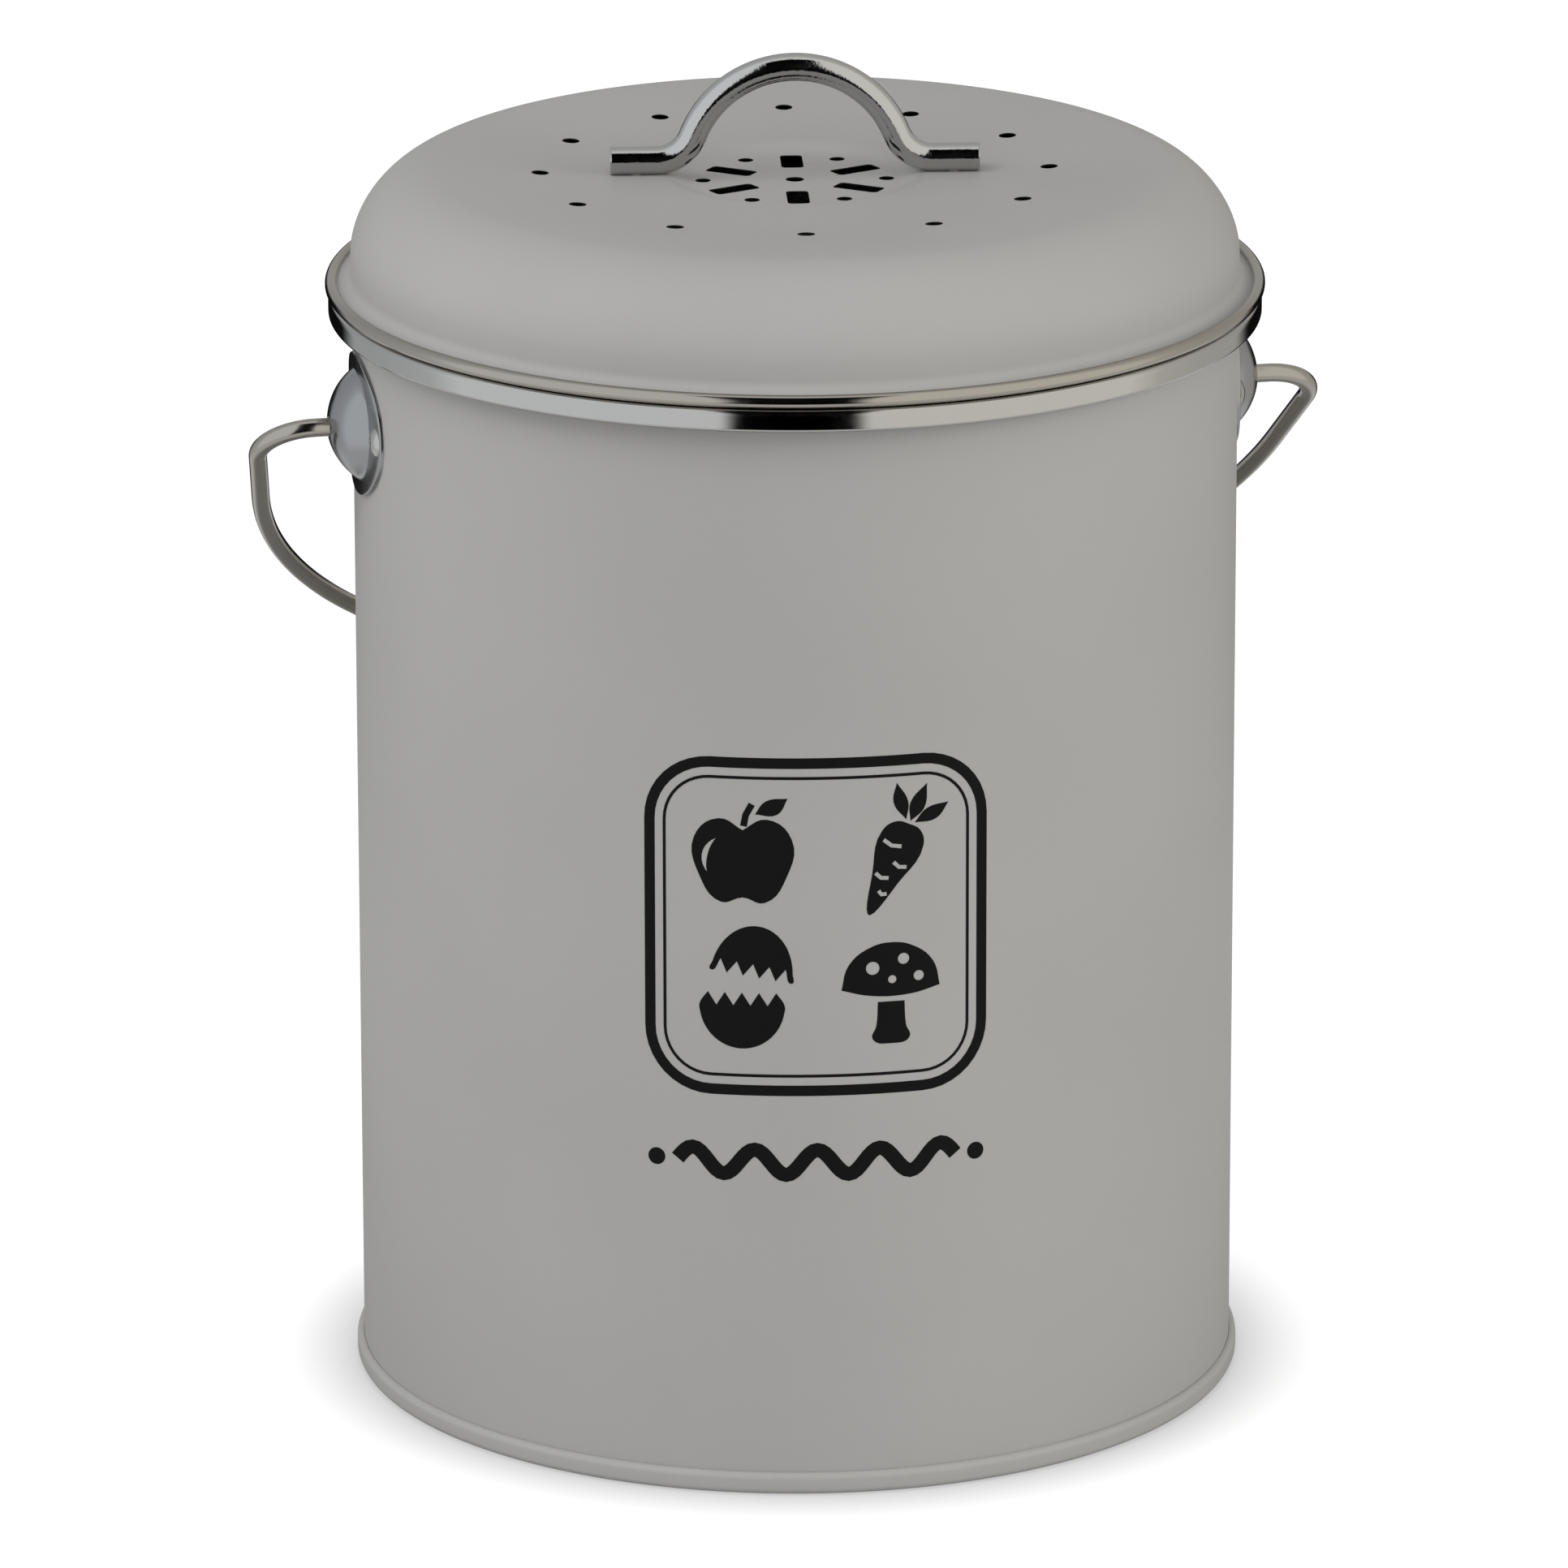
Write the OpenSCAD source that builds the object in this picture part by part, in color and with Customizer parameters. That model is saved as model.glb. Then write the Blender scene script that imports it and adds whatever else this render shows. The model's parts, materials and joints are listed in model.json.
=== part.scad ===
// Kitchen compost caddy: seamed sheet-steel can with a wire bail, liner bucket,
// and a loose domed lid with a carbon filter.
// Origin at the centre of the foot, +Z up, ears and bail pivot on +X and -X, front on -Y.

/* [Body] */
// Outer diameter of the can wall
body_d = 172; // [150:1:220]
// Height of the body with its rim, without the lid
body_h = 217.7; // [150:0.1:300]
// Sheet thickness of the can wall
wall_t = 0.6; // [0.4:0.1:1.2]

/* [Body rim] */
// Height of the rolled rim round the mouth
rim_h = 4.6; // [3.8:0.1:6]
// How far the rolled rim stands outside the can wall
rim_out = 4.6; // [3.6:0.1:6]
// Radius of the rim's upper edge
rim_top_r = 1.4; // [1:0.1:1.8]
// Radius of the rim's lower edge
rim_low_r = 0.8; // [0.4:0.1:1.4]
// Thickness of the lip that folds over the wall's top edge
rim_lip_t = 0.6; // [0.4:0.1:1]

/* [Base] */
// How far the foot bead stands out from the wall
bead_out = 1.4; // [0.8:0.1:2.5]
// Height of the foot bead
bead_h = 4.3; // [3:0.1:7]
// Sheet thickness of the base and of its seam
base_t = 0.7; // [0.5:0.1:1.2]
// Height of the recessed floor's underside above the table
floor_lift = 3; // [1.5:0.1:5]

/* [Ears] */
// Distance of the bail's pivot below the body's top
pivot_drop = 23.1; // [20:0.1:40]
// Width of an ear plate along the wall
ear_w = 34.4; // [31:0.1:40]
// Height of an ear plate
ear_h = 27.4; // [25:0.1:32]
// How far the middle of an ear lies above the bail's pivot
ear_rise = 0.4; // [0:0.1:1]
// Sheet thickness of an ear
ear_t = 0.8; // [0.5:0.1:1.2]
// How far an ear's dome stands out from the wall
dome_rise = 6.3; // [5.8:0.1:8]
// Radius of the sphere that the dome is pressed to
dome_sphere_r = 13.3; // [12.6:0.1:14]
// Distance of each rivet from the middle of its ear, along the wall
rivet_out = 14.3; // [14.1:0.1:15]
// Diameter of a rivet's shank
rivet_d = 2.5; // [1.6:0.1:2.8]
// Diameter of a rivet's outer head
rivet_head_d = 5.4; // [4:0.1:5.6]
// Thickness of a rivet's heads
rivet_head_t = 1; // [0.6:0.1:1.2]

/* [Bail] */
// Diameter of the bail's wire
wire_d = 3.6; // [2.6:0.1:4.4]
// How far the bail's corners stand outside the can wall, to the middle of the wire
bail_side_out = 20.3; // [20:0.1:26]
// Angle of the hanging bail below level
bail_hang = 41; // [35:0.5:60]
// Gap between the hanging bail and the back of the wall
bail_back_gap = 1.25; // [0.8:0.05:3]
// Bend radius of the bail's corners, at the middle of the wire
bail_corner_r = 10; // [6:0.5:10.5]
// How much tighter the bow's arc is than one drawn through both corners
bail_easing = 3.9; // [2:0.1:8]
// Diameter of the upset heads that hold the wire in the domes
wire_head_d = 6.4; // [5.8:0.1:7.2]
// Thickness of the upset heads
wire_head_t = 1.5; // [1:0.1:2]

/* [Lid] */
// Height of the lid's flat top above the body's top
lid_h = 22.7; // [22:0.1:32]
// How far the crown round the flat top rises above it
crown_h = 1.4; // [0.2:0.1:2]
// Width of the gentle slope from the flat top up to the crown
crown_w = 34; // [20:1:34]
// Sheet thickness of the lid
lid_t = 0.6; // [0.4:0.1:0.9]
// Section diameter of the rolled rim round the lid
lid_roll_d = 2.6; // [2.2:0.1:3.2]
// How far the lid's rim stands outside the body's rim
lid_roll_out = 0.6; // [0.2:0.1:0.9]
// How far the lid's skirt stands outside the can wall
lid_skirt_out = 0.2; // [0:0.1:0.4]
// Radius of the flare from the skirt into the rim
flare_r = 2.6; // [2:0.1:3]
// Width of the rounded shoulder, seen from above
shoulder_w = 16.2; // [12:0.1:19]
// Height of the rounded shoulder
shoulder_h = 16.8; // [12:0.1:17]
// Fullness of the shoulder's curve: 2 is an ellipse
shoulder_power = 1.85; // [1.6:0.05:2.2]

/* [Vents] */
// Depth of the dish in the middle of the lid
dish_depth = 1.5; // [1:0.1:2.5]
// Radius of the dish at its top edge
dish_r = 25.6; // [25:0.1:27]
// Width of the dish's sloping edge
dish_slope_w = 5.6; // [4:0.1:5.8]
// Turn of the loose lid, with its vents and handle, from the ears
lid_turn = -9.4; // [-45:0.1:45]
// Number of holes in the outer ring
outer_vents = 12; // [6:2:16]
// Radius of the outer ring of holes
outer_vent_ring_r = 49.3; // [42:0.1:54]
// Diameter of the outer holes
outer_vent_d = 3.4; // [2:0.1:4]
// Number of holes, and of slots between them, in the dish
inner_vents = 6; // [4:1:6]
// Radius of the ring of holes in the dish
inner_vent_ring_r = 17.8; // [17.2:0.1:18]
// Diameter of the holes in the dish
inner_vent_d = 3; // [2:0.1:3.2]
// Diameter of the hole in the middle
centre_vent_d = 3.6; // [2:0.1:4]
// Distance of the slots from the middle of the lid
slot_ring_r = 13.9; // [13:0.1:14]
// Length of a slot
slot_l = 9.6; // [7:0.1:9.8]
// Width of a slot
slot_w = 4.3; // [2.5:0.1:4.4]
// Radius of a slot's corners
slot_corner_r = 0.9; // [0.3:0.1:1.2]

/* [Lid handle] */
// Diameter of the handle's rod
rod_d = 5.5; // [5:0.1:7]
// Length of the handle from end to end
handle_l = 71.5; // [69:0.5:80]
// Rise of the handle's arch, middle to middle
arch_rise = 18.3; // [18:0.1:24]
// Radius of the arch, at the middle of the rod
arch_r = 21.2; // [18:0.1:21.6]
// Radius of the bends above the feet, at the middle of the rod
foot_bend_r = 7.6; // [6:0.1:8]
// Slope of the rod between the arch and the feet
arch_slope = 67; // [60:1:68]
// Depth of the flat under each foot
foot_flat = 0.15; // [0.1:0.05:0.5]
// Distance of each screw from the end of the handle
screw_inset = 5; // [4:0.1:6]
// Diameter of the handle screws
screw_d = 3; // [2:0.1:3.2]
// Diameter of the screw heads
screw_head_d = 5.6; // [4.8:0.1:6.2]
// Thickness of the screw heads
screw_head_t = 1.9; // [1.4:0.1:2.4]
// How far the screws reach into the rod
screw_reach = 3.6; // [2:0.1:3.8]

/* [Lid collar] */
// Sheet thickness of the locating collar
collar_t = 0.5; // [0.4:0.1:0.8]
// How far the collar reaches below the body's top
collar_depth = 8.2; // [5:0.1:9]
// Width of the collar's band that is spot-welded inside the lid's skirt
collar_band_h = 2.6; // [1.5:0.1:2.6]

/* [Filter] */
// Finger room between the basket's lip and the lid's collar
basket_room = 8.3; // [4:0.1:20]
// Thickness of the carbon filter pad
filter_t = 9; // [6:0.5:10]
// Wall thickness of the moulded filter basket
basket_t = 1.4; // [1:0.1:1.8]
// Thickness of the basket's grille
grille_t = 1.8; // [1.2:0.1:2.4]
// Width of the grille's bars
grille_bar_w = 3; // [2:0.1:4]
// Number of bars across the grille
grille_bars = 8; // [4:1:12]
// Length of the sleeve that holds the basket
sleeve_l = 8.8; // [6:0.1:10]
// Width of the basket's finger lip outside the sleeve
basket_lip_w = 2.6; // [1.5:0.1:3]

/* [Inner bucket] */
// Wall thickness of the liner bucket
bucket_t = 1.6; // [1:0.1:2.4]
// Distance of the bucket's lip below the body's top
bucket_drop = 15; // [13:0.5:25]
// How much narrower the bucket's wall is at the floor, in radius
bucket_taper = 7; // [3:0.5:12]
// How far the bucket's lip stands out from its wall
bucket_lip_w = 1.8; // [1:0.1:3]
// Height of the bucket's lip
bucket_lip_h = 3.4; // [2:0.1:8]

/* [Fits] */
// Running clearance of the wire in the ears, in radius
pivot_clear = 0.06; // [0.02:0.01:0.1]
// Clearance of rivets and screws in their holes, in radius
fastener_clear = 0.05; // [0.02:0.01:0.1]
// Gap between the lid's rim and the body's rim
seat_gap = 0.2; // [0.1:0.05:0.3]
// Gap between the lid's collar and the can's mouth, in radius
collar_gap = 0.6; // [0.4:0.1:1]
// Gap between moulded filter pieces that slide, in radius
slide_gap = 0.3; // [0.2:0.05:0.5]
// Gap between the bucket's lip and the rivets inside the wall
bucket_gap = 1.6; // [0.8:0.1:4]

/* [Hidden] */

$fn = 64;
// Through cuts reach this far past both faces
cut = 1;
// Straight stretches of wire and rod run this far into the bends, and are this much thinner in radius
lap = 0.4;
lap_step = 0.02;
// Points along a quarter of a curve
curve_n = 14;
bend_n = 6;

paint = "#9c9c9b";
bright = "#c4c5c3";
coal = "#2b2c2e";
moulding = "#3a3b3d";
liner = "#e6e5df";

wall_r = body_d / 2;
mouth_r = wall_r - wall_t;
wall_top_z = body_h - rim_lip_t - 0.3;
rim_low_z = body_h - rim_h;
rim_out_r = wall_r + rim_out;
rim_top_edge = [rim_out_r - rim_top_r, body_h - rim_top_r];
rim_low_edge = [rim_out_r - rim_low_r, rim_low_z + rim_low_r];

floor_z = floor_lift + base_t;
bead_r = wall_r + bead_out;
bead_round = min(bead_out, bead_h / 2) * 0.95;

pivot_z = body_h - pivot_drop;
ear_z = pivot_z + ear_rise;
ear_r = wall_r + ear_t;
dome_tip_x = wall_r + dome_rise;
dome_centre_x = dome_tip_x - dome_sphere_r;
dome_inner_r = dome_sphere_r - ear_t;
rivet_angle = asin(rivet_out / ear_r);

wire_r = wire_d / 2;
wire_head_r = wire_head_d / 2;
// The upset head lies just inside the dome, clear of its curve
head_clear = 0.25;
wire_head_reach = wire_head_r + ear_rise;
head_room_x = dome_centre_x + sqrt(pow(dome_inner_r, 2) - pow(wire_head_reach, 2));
wire_head_x = head_room_x - head_clear - wire_head_t;
// The bail is laid out flat: s runs along the pivot, d away from it
bail_s = wall_r + bail_side_out;
bail_l = (wall_r + wire_r + bail_back_gap) / cos(bail_hang);
bow_r = (pow(bail_s, 2) + pow(bail_l, 2)) / (2 * bail_l) - bail_easing;
bow_d = bail_l - bow_r;
bow_from = atan2(-bow_d, bail_s) + acos(bow_r / norm([bail_s, bow_d]));
corner_turn = bow_from + 90;
corner_s = bail_s - bail_corner_r * tan(corner_turn / 2);
arm_start = [
    corner_s + bail_corner_r * cos(corner_turn - 90),
    bail_corner_r + bail_corner_r * sin(corner_turn - 90)
];
arm_end = [bow_r * cos(bow_from), bow_d + bow_r * sin(bow_from)];

lid_roll_r = lid_roll_d / 2;
lid_ring_r = rim_out_r + lid_roll_out - lid_roll_r;
seat_reach = rim_top_r + lid_roll_r + seat_gap;
lid_roll_z = rim_top_edge[1] + sqrt(pow(seat_reach, 2) - pow(lid_ring_r - rim_top_edge[0], 2));
lid_top_z = body_h + lid_h;
crown_z = lid_top_z + crown_h;
skirt_r = wall_r + lid_skirt_out;
skirt_in_r = skirt_r - lid_t;
flare_end_r = skirt_r + flare_r;
flange_z = lid_roll_z + lid_t * 2 / 3;
skirt_low_z = flange_z + flare_r;
// The painted flange runs this far into the roll
flange_in = 0.4;
shoulder_top_r = skirt_r - shoulder_w;
dish_floor_r = dish_r - dish_slope_w;
// Each vent is cut from just under the dish to just above the crown
vent_low_z = lid_top_z - dish_depth - lid_t - cut;
vent_cut_h = crown_z + cut - vent_low_z;

collar_r = mouth_r - collar_gap;
collar_band_in_r = skirt_in_r - collar_t;
collar_low_z = body_h - collar_depth;
collar_step_h = 1.6;

rod_r = rod_d / 2;
foot_z = lid_top_z + rod_r - foot_flat;
slope_l = (arch_rise - (arch_r + foot_bend_r) * (1 - cos(arch_slope))) / sin(arch_slope);
slope_start = [arch_r * sin(arch_slope), arch_rise - arch_r * (1 - cos(arch_slope))];
slope_end = slope_start + slope_l * [cos(arch_slope), -sin(arch_slope)];
foot_start_x = slope_end[0] + foot_bend_r * sin(arch_slope);
screw_x = handle_l / 2 - screw_inset;
lid_under_z = lid_top_z - lid_t;

ring_z = skirt_low_z + collar_step_h / 4;
ring_t = 1.6;
basket_lip_r = collar_r - collar_t - basket_room;
sleeve_r = basket_lip_r - basket_lip_w;
sleeve_in_r = sleeve_r - basket_t;
basket_r = sleeve_in_r - slide_gap;
basket_in_r = basket_r - basket_t;
filter_r = basket_in_r - slide_gap;
sleeve_low_z = ring_z - sleeve_l;
basket_low_z = sleeve_low_z - slide_gap - grille_t;
basket_floor_z = basket_low_z + grille_t;
hub_r = 9;

bucket_top_z = body_h - bucket_drop;
bucket_lip_r = mouth_r - rivet_head_t - bucket_gap;
bucket_top_r = bucket_lip_r - bucket_lip_w;
bucket_low_r = bucket_top_r - bucket_taper;
bucket_floor_t = 1.8;

// Points on an arc of radius r about c, from angle a to angle b
function arc(c, r, a, b, n) = [
    for (i = [0:n])
        let (t = a + (b - a) * i / n)
        c + r * [cos(t), sin(t)]
];

// The lid's rounded shoulder, from the top's edge down to the skirt, for a surface dz below the outer one
function shoulder(dz) = [
    for (i = [0:curve_n])
        let (a = 90 * i / curve_n, w = shoulder_w - dz, h = shoulder_h - dz)
        [
            shoulder_top_r + w * pow(sin(a), 2 / shoulder_power),
            crown_z - shoulder_h + h * pow(cos(a), 2 / shoulder_power)
        ]
];

// The gentle slope from the flat top up to the crown, dz below the outer surface
function crown_edge(dz) = [
    for (i = [0:bend_n - 1])
        let (rise = crown_h * (1 - cos(180 * i / bend_n)) / 2)
        [shoulder_top_r - crown_w + crown_w * i / bend_n, lid_top_z - dz + rise]
];

// The dish's smooth sloping edge, dz below the outer surface
function dish_edge(dz) = [
    for (i = [0:bend_n])
        let (depth = dish_depth * (1 + cos(180 * i / bend_n)) / 2)
        [dish_floor_r + dish_slope_w * i / bend_n, lid_top_z - dz - depth]
];

function lid_outer() = concat(
    [[0, lid_top_z - dish_depth]],
    dish_edge(0),
    crown_edge(0),
    shoulder(0),
    arc([flare_end_r, skirt_low_z], flare_r, 180, 270, bend_n),
    [[lid_ring_r - flange_in, flange_z]]
);

function lid_inner() = concat(
    [[0, lid_top_z - dish_depth - lid_t]],
    dish_edge(lid_t),
    crown_edge(lid_t),
    shoulder(lid_t),
    arc([flare_end_r, skirt_low_z], flare_r + lid_t, 180, 270, bend_n),
    [[lid_ring_r - flange_in, flange_z - lid_t]]
);

function reversed(points) = [for (i = [len(points) - 1:-1:0]) points[i]];

module lid_section() {
    polygon(concat(lid_outer(), reversed(lid_inner())));
}

// A straight round bar of length l along +X
module bar(r, l) {
    rotate([0, 90, 0])
        cylinder(r = r, h = l);
}

// A straight stretch of bent wire or rod, which runs a little into the bend at each end
module stretch(r, l) {
    translate([-lap, 0, 0])
        bar(r - lap_step, l + 2 * lap);
}

// A round bar bent to radius r about the origin, from angle a through turn degrees
module bent_bar(bar_r, r, a, turn) {
    rotate([0, 0, a])
        rotate_extrude(angle = turn)
            translate([r, 0])
                circle(r = bar_r);
}

// Draws its children on both ends of the X axis
module both_ends() {
    children();
    mirror([1, 0, 0])
        children();
}

// Draws its children turned to each rivet of the ear on +X, looking along +X
module at_rivet(front) {
    rotate([0, 0, front ? -rivet_angle : rivet_angle])
        translate([0, 0, ear_z])
            children();
}

module rivet_holes() {
    for (front = [true, false])
        at_rivet(front)
            translate([wall_r / 2, 0, 0])
                bar(rivet_d / 2 + fastener_clear, wall_r);
}

module body_shell() {
    color(paint)
        difference() {
            translate([0, 0, base_t])
                cylinder(r = wall_r, h = wall_top_z - base_t);
            translate([0, 0, base_t - cut])
                cylinder(r = mouth_r, h = body_h);
            both_ends()
                rivet_holes();
        }
}

module body_rim() {
    color(bright)
        rotate_extrude()
            polygon(concat(
                [[wall_r, rim_low_z]],
                arc(rim_low_edge, rim_low_r, -90, 0, bend_n),
                arc(rim_top_edge, rim_top_r, 0, 90, bend_n),
                [[mouth_r, body_h], [mouth_r, wall_top_z], [wall_r, wall_top_z]]
            ));
}

module base_pan() {
    seam_in_r = mouth_r - base_t;
    outer_foot = arc([bead_r - bead_round, bead_round], bead_round, -90, 0, bend_n);
    outer_top = arc([bead_r - bead_round, bead_h - bead_round], bead_round, 0, 90, bend_n);
    color(paint)
        rotate_extrude()
            polygon(concat(
                [[0, floor_lift], [seam_in_r, floor_lift], [seam_in_r, 0]],
                outer_foot,
                outer_top,
                [[wall_r, bead_h], [wall_r, base_t], [mouth_r, base_t], [mouth_r, floor_z], [0, floor_z]]
            ));
}

module ear() {
    plate = [for (a = [0:10:350]) [ear_h / 2 * cos(a), ear_w / 2 * sin(a)]];
    color(bright)
        difference() {
            union() {
                intersection() {
                    translate([0, 0, ear_z - ear_h])
                        cylinder(r = ear_r, h = 2 * ear_h);
                    translate([wall_r / 2, 0, ear_z])
                        rotate([0, 90, 0])
                            linear_extrude(height = wall_r)
                                polygon(plate);
                }
                translate([dome_centre_x, 0, ear_z])
                    sphere(r = dome_sphere_r);
            }
            translate([dome_centre_x, 0, ear_z])
                sphere(r = dome_inner_r);
            translate([0, 0, ear_z - ear_w])
                cylinder(r = wall_r, h = 2 * ear_w);
            translate([dome_centre_x, 0, pivot_z])
                bar(wire_r + pivot_clear, dome_sphere_r + cut);
            rivet_holes();
        }
}

module left_ear() {
    mirror([1, 0, 0])
        ear();
}

module right_ear() {
    ear();
}

// A rivet along +X: low domed head on the ear, shank, and a flat head inside the wall
module rivet() {
    head_r = rivet_head_d / 2;
    head_sphere_r = (pow(head_r, 2) + pow(rivet_head_t, 2)) / (2 * rivet_head_t);
    head_angle = asin(head_r / head_sphere_r);
    inner_face_x = mouth_r - fastener_clear;
    head_tip = ear_r + rivet_head_t;
    color(bright)
        rotate([0, 90, 0])
            rotate_extrude()
                polygon(concat(
                    [[0, inner_face_x - rivet_head_t], [head_r, inner_face_x - rivet_head_t]],
                    [[head_r, inner_face_x], [rivet_d / 2, inner_face_x], [rivet_d / 2, ear_r]],
                    arc([0, head_tip - head_sphere_r], head_sphere_r, 90 - head_angle, 90, bend_n)
                ));
}

module right_front_rivet() {
    at_rivet(true)
        rivet();
}

module right_rear_rivet() {
    at_rivet(false)
        rivet();
}

module left_front_rivet() {
    mirror([1, 0, 0])
        right_front_rivet();
}

module left_rear_rivet() {
    mirror([1, 0, 0])
        right_rear_rivet();
}

module inner_bucket() {
    inside_top_r = bucket_top_r - bucket_t;
    inside_low_r = bucket_low_r - bucket_t;
    color(liner)
        rotate_extrude()
            polygon([
                [0, floor_z],
                [bucket_low_r, floor_z],
                [bucket_top_r, bucket_top_z - bucket_lip_h],
                [bucket_lip_r, bucket_top_z - bucket_lip_h],
                [bucket_lip_r, bucket_top_z],
                [inside_top_r, bucket_top_z],
                [inside_low_r, floor_z + bucket_floor_t],
                [0, floor_z + bucket_floor_t]
            ]);
}

// One half of the flat bail, on the +X side
module bail_half() {
    translate([wire_head_x, 0, 0])
        bar(wire_head_r, wire_head_t);
    translate([wire_head_x + wire_head_t, 0, 0])
        stretch(wire_r, corner_s - wire_head_x - wire_head_t);
    translate([corner_s, bail_corner_r, 0])
        bent_bar(wire_r, bail_corner_r, -90, corner_turn);
    translate([arm_start[0], arm_start[1], 0])
        rotate([0, 0, corner_turn])
            stretch(wire_r, norm(arm_end - arm_start));
}

module bail() {
    color(bright)
        translate([0, 0, pivot_z])
            rotate([-bail_hang, 0, 0]) {
                both_ends()
                    bail_half();
                translate([0, bow_d, 0])
                    bent_bar(wire_r, bow_r, bow_from, 180 - 2 * bow_from);
            }
}

module vent_hole(d, ring_r) {
    translate([ring_r, 0, vent_low_z])
        cylinder(d = d, h = vent_cut_h);
}

module vent_slot() {
    translate([slot_ring_r, 0, vent_low_z])
        linear_extrude(height = vent_cut_h) {
            square([slot_l - 2 * slot_corner_r, slot_w], center = true);
            square([slot_l, slot_w - 2 * slot_corner_r], center = true);
            for (x = [-1, 1], y = [-1, 1])
                translate([x * (slot_l / 2 - slot_corner_r), y * (slot_w / 2 - slot_corner_r)])
                    circle(r = slot_corner_r);
        }
}

module lid_shell() {
    outer_step = 360 / outer_vents;
    inner_step = 360 / inner_vents;
    color(paint)
        rotate([0, 0, lid_turn])
            difference() {
                rotate_extrude()
                    lid_section();
                vent_hole(centre_vent_d, 0);
                for (i = [0:outer_vents - 1])
                    rotate([0, 0, i * outer_step])
                        vent_hole(outer_vent_d, outer_vent_ring_r);
                for (i = [0:inner_vents - 1]) {
                    rotate([0, 0, i * inner_step])
                        vent_hole(inner_vent_d, inner_vent_ring_r);
                    rotate([0, 0, (i + 0.5) * inner_step])
                        vent_slot();
                }
                for (side = [-1, 1])
                    vent_hole(screw_d + 2 * fastener_clear, side * screw_x);
            }
}

module lid_rim() {
    color(bright)
        rotate_extrude()
            difference() {
                translate([lid_ring_r, lid_roll_z])
                    circle(r = lid_roll_r);
                lid_section();
            }
}

// One half of the handle's rod below its arch, upright in the X-Z plane on the +X side
module handle_leg() {
    rotate([90, 0, 0]) {
        translate([slope_start[0], slope_start[1], 0])
            rotate([0, 0, -arch_slope])
                stretch(rod_r, slope_l);
        translate([foot_start_x, foot_bend_r, 0])
            bent_bar(rod_r, foot_bend_r, 270 - arch_slope, arch_slope);
    }
    translate([foot_start_x, 0, 0])
        stretch(rod_r, handle_l / 2 - foot_start_x - lap);
}

module lid_handle() {
    screw_hole_r = screw_d / 2 + fastener_clear;
    color(bright)
        rotate([0, 0, lid_turn])
            difference() {
                translate([0, 0, foot_z]) {
                    both_ends()
                        handle_leg();
                    rotate([90, 0, 0])
                        translate([0, arch_rise - arch_r, 0])
                            bent_bar(rod_r, arch_r, 90 - arch_slope, 2 * arch_slope);
                }
                translate([-handle_l, -handle_l, lid_top_z - rod_d])
                    cube([2 * handle_l, 2 * handle_l, rod_d]);
                for (side = [-1, 1])
                    translate([side * screw_x, 0, lid_top_z - cut])
                        cylinder(r = screw_hole_r, h = cut + screw_reach + fastener_clear);
            }
}

// A pan-head screw at x, driven up through the lid into the rod
module handle_screw(x) {
    slot_d = 0.8;
    color(bright)
        rotate([0, 0, lid_turn])
            translate([x, 0, 0])
                difference() {
                    union() {
                        translate([0, 0, lid_under_z - screw_head_t])
                            cylinder(d = screw_head_d, h = screw_head_t);
                        translate([0, 0, lid_under_z])
                            cylinder(d = screw_d, h = lid_t + screw_reach);
                    }
                    for (a = [0, 90])
                        rotate([0, 0, a])
                            translate([-screw_d / 2, -slot_d / 2, lid_under_z - screw_head_t - cut])
                                cube([screw_d, slot_d, cut + screw_head_t / 2]);
                }
}

module left_handle_screw() {
    handle_screw(-screw_x);
}

module right_handle_screw() {
    handle_screw(screw_x);
}

module lid_collar() {
    band_low_z = skirt_low_z;
    color(bright)
        rotate_extrude()
            polygon([
                [collar_r - collar_t, collar_low_z],
                [collar_r, collar_low_z],
                [collar_r, band_low_z - collar_step_h],
                [skirt_in_r, band_low_z],
                [skirt_in_r, band_low_z + collar_band_h],
                [collar_band_in_r, band_low_z + collar_band_h],
                [collar_band_in_r, band_low_z],
                [collar_r - collar_t, band_low_z - collar_step_h]
            ]);
}

module filter_ring() {
    color(moulding)
        rotate_extrude() {
            translate([sleeve_in_r, ring_z])
                square([collar_band_in_r - sleeve_in_r, ring_t]);
            translate([sleeve_in_r, sleeve_low_z])
                square([basket_t, sleeve_l + ring_t]);
        }
}

module filter_basket() {
    mid_ring_r = (hub_r + basket_in_r) / 2;
    color(moulding) {
        rotate_extrude() {
            translate([basket_in_r, basket_low_z])
                square([basket_t, grille_t + filter_t]);
            translate([basket_in_r, basket_low_z])
                square([basket_lip_r - basket_in_r, grille_t]);
            translate([mid_ring_r - grille_bar_w / 2, basket_low_z])
                square([grille_bar_w, grille_t]);
        }
        translate([0, 0, basket_low_z])
            cylinder(r = hub_r, h = grille_t);
        for (i = [0:grille_bars - 1])
            rotate([0, 0, 360 / grille_bars * i])
                translate([hub_r / 2, -grille_bar_w / 2, basket_low_z])
                    cube([basket_in_r + basket_t / 2 - hub_r / 2, grille_bar_w, grille_t]);
    }
}

module carbon_filter() {
    color(coal)
        translate([0, 0, basket_floor_z])
            cylinder(r = filter_r, h = filter_t);
}

body_shell();
body_rim();
base_pan();
left_ear();
right_ear();
left_front_rivet();
left_rear_rivet();
right_front_rivet();
right_rear_rivet();
inner_bucket();
bail();
lid_shell();
lid_rim();
lid_handle();
lid_collar();
left_handle_screw();
right_handle_screw();
filter_ring();
filter_basket();
carbon_filter();
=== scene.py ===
import json
from math import acos, asin, atan2, cos, degrees, hypot, pi, radians, sin, sqrt, tan

import bmesh
import bpy
from mathutils import Matrix, Vector


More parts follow.
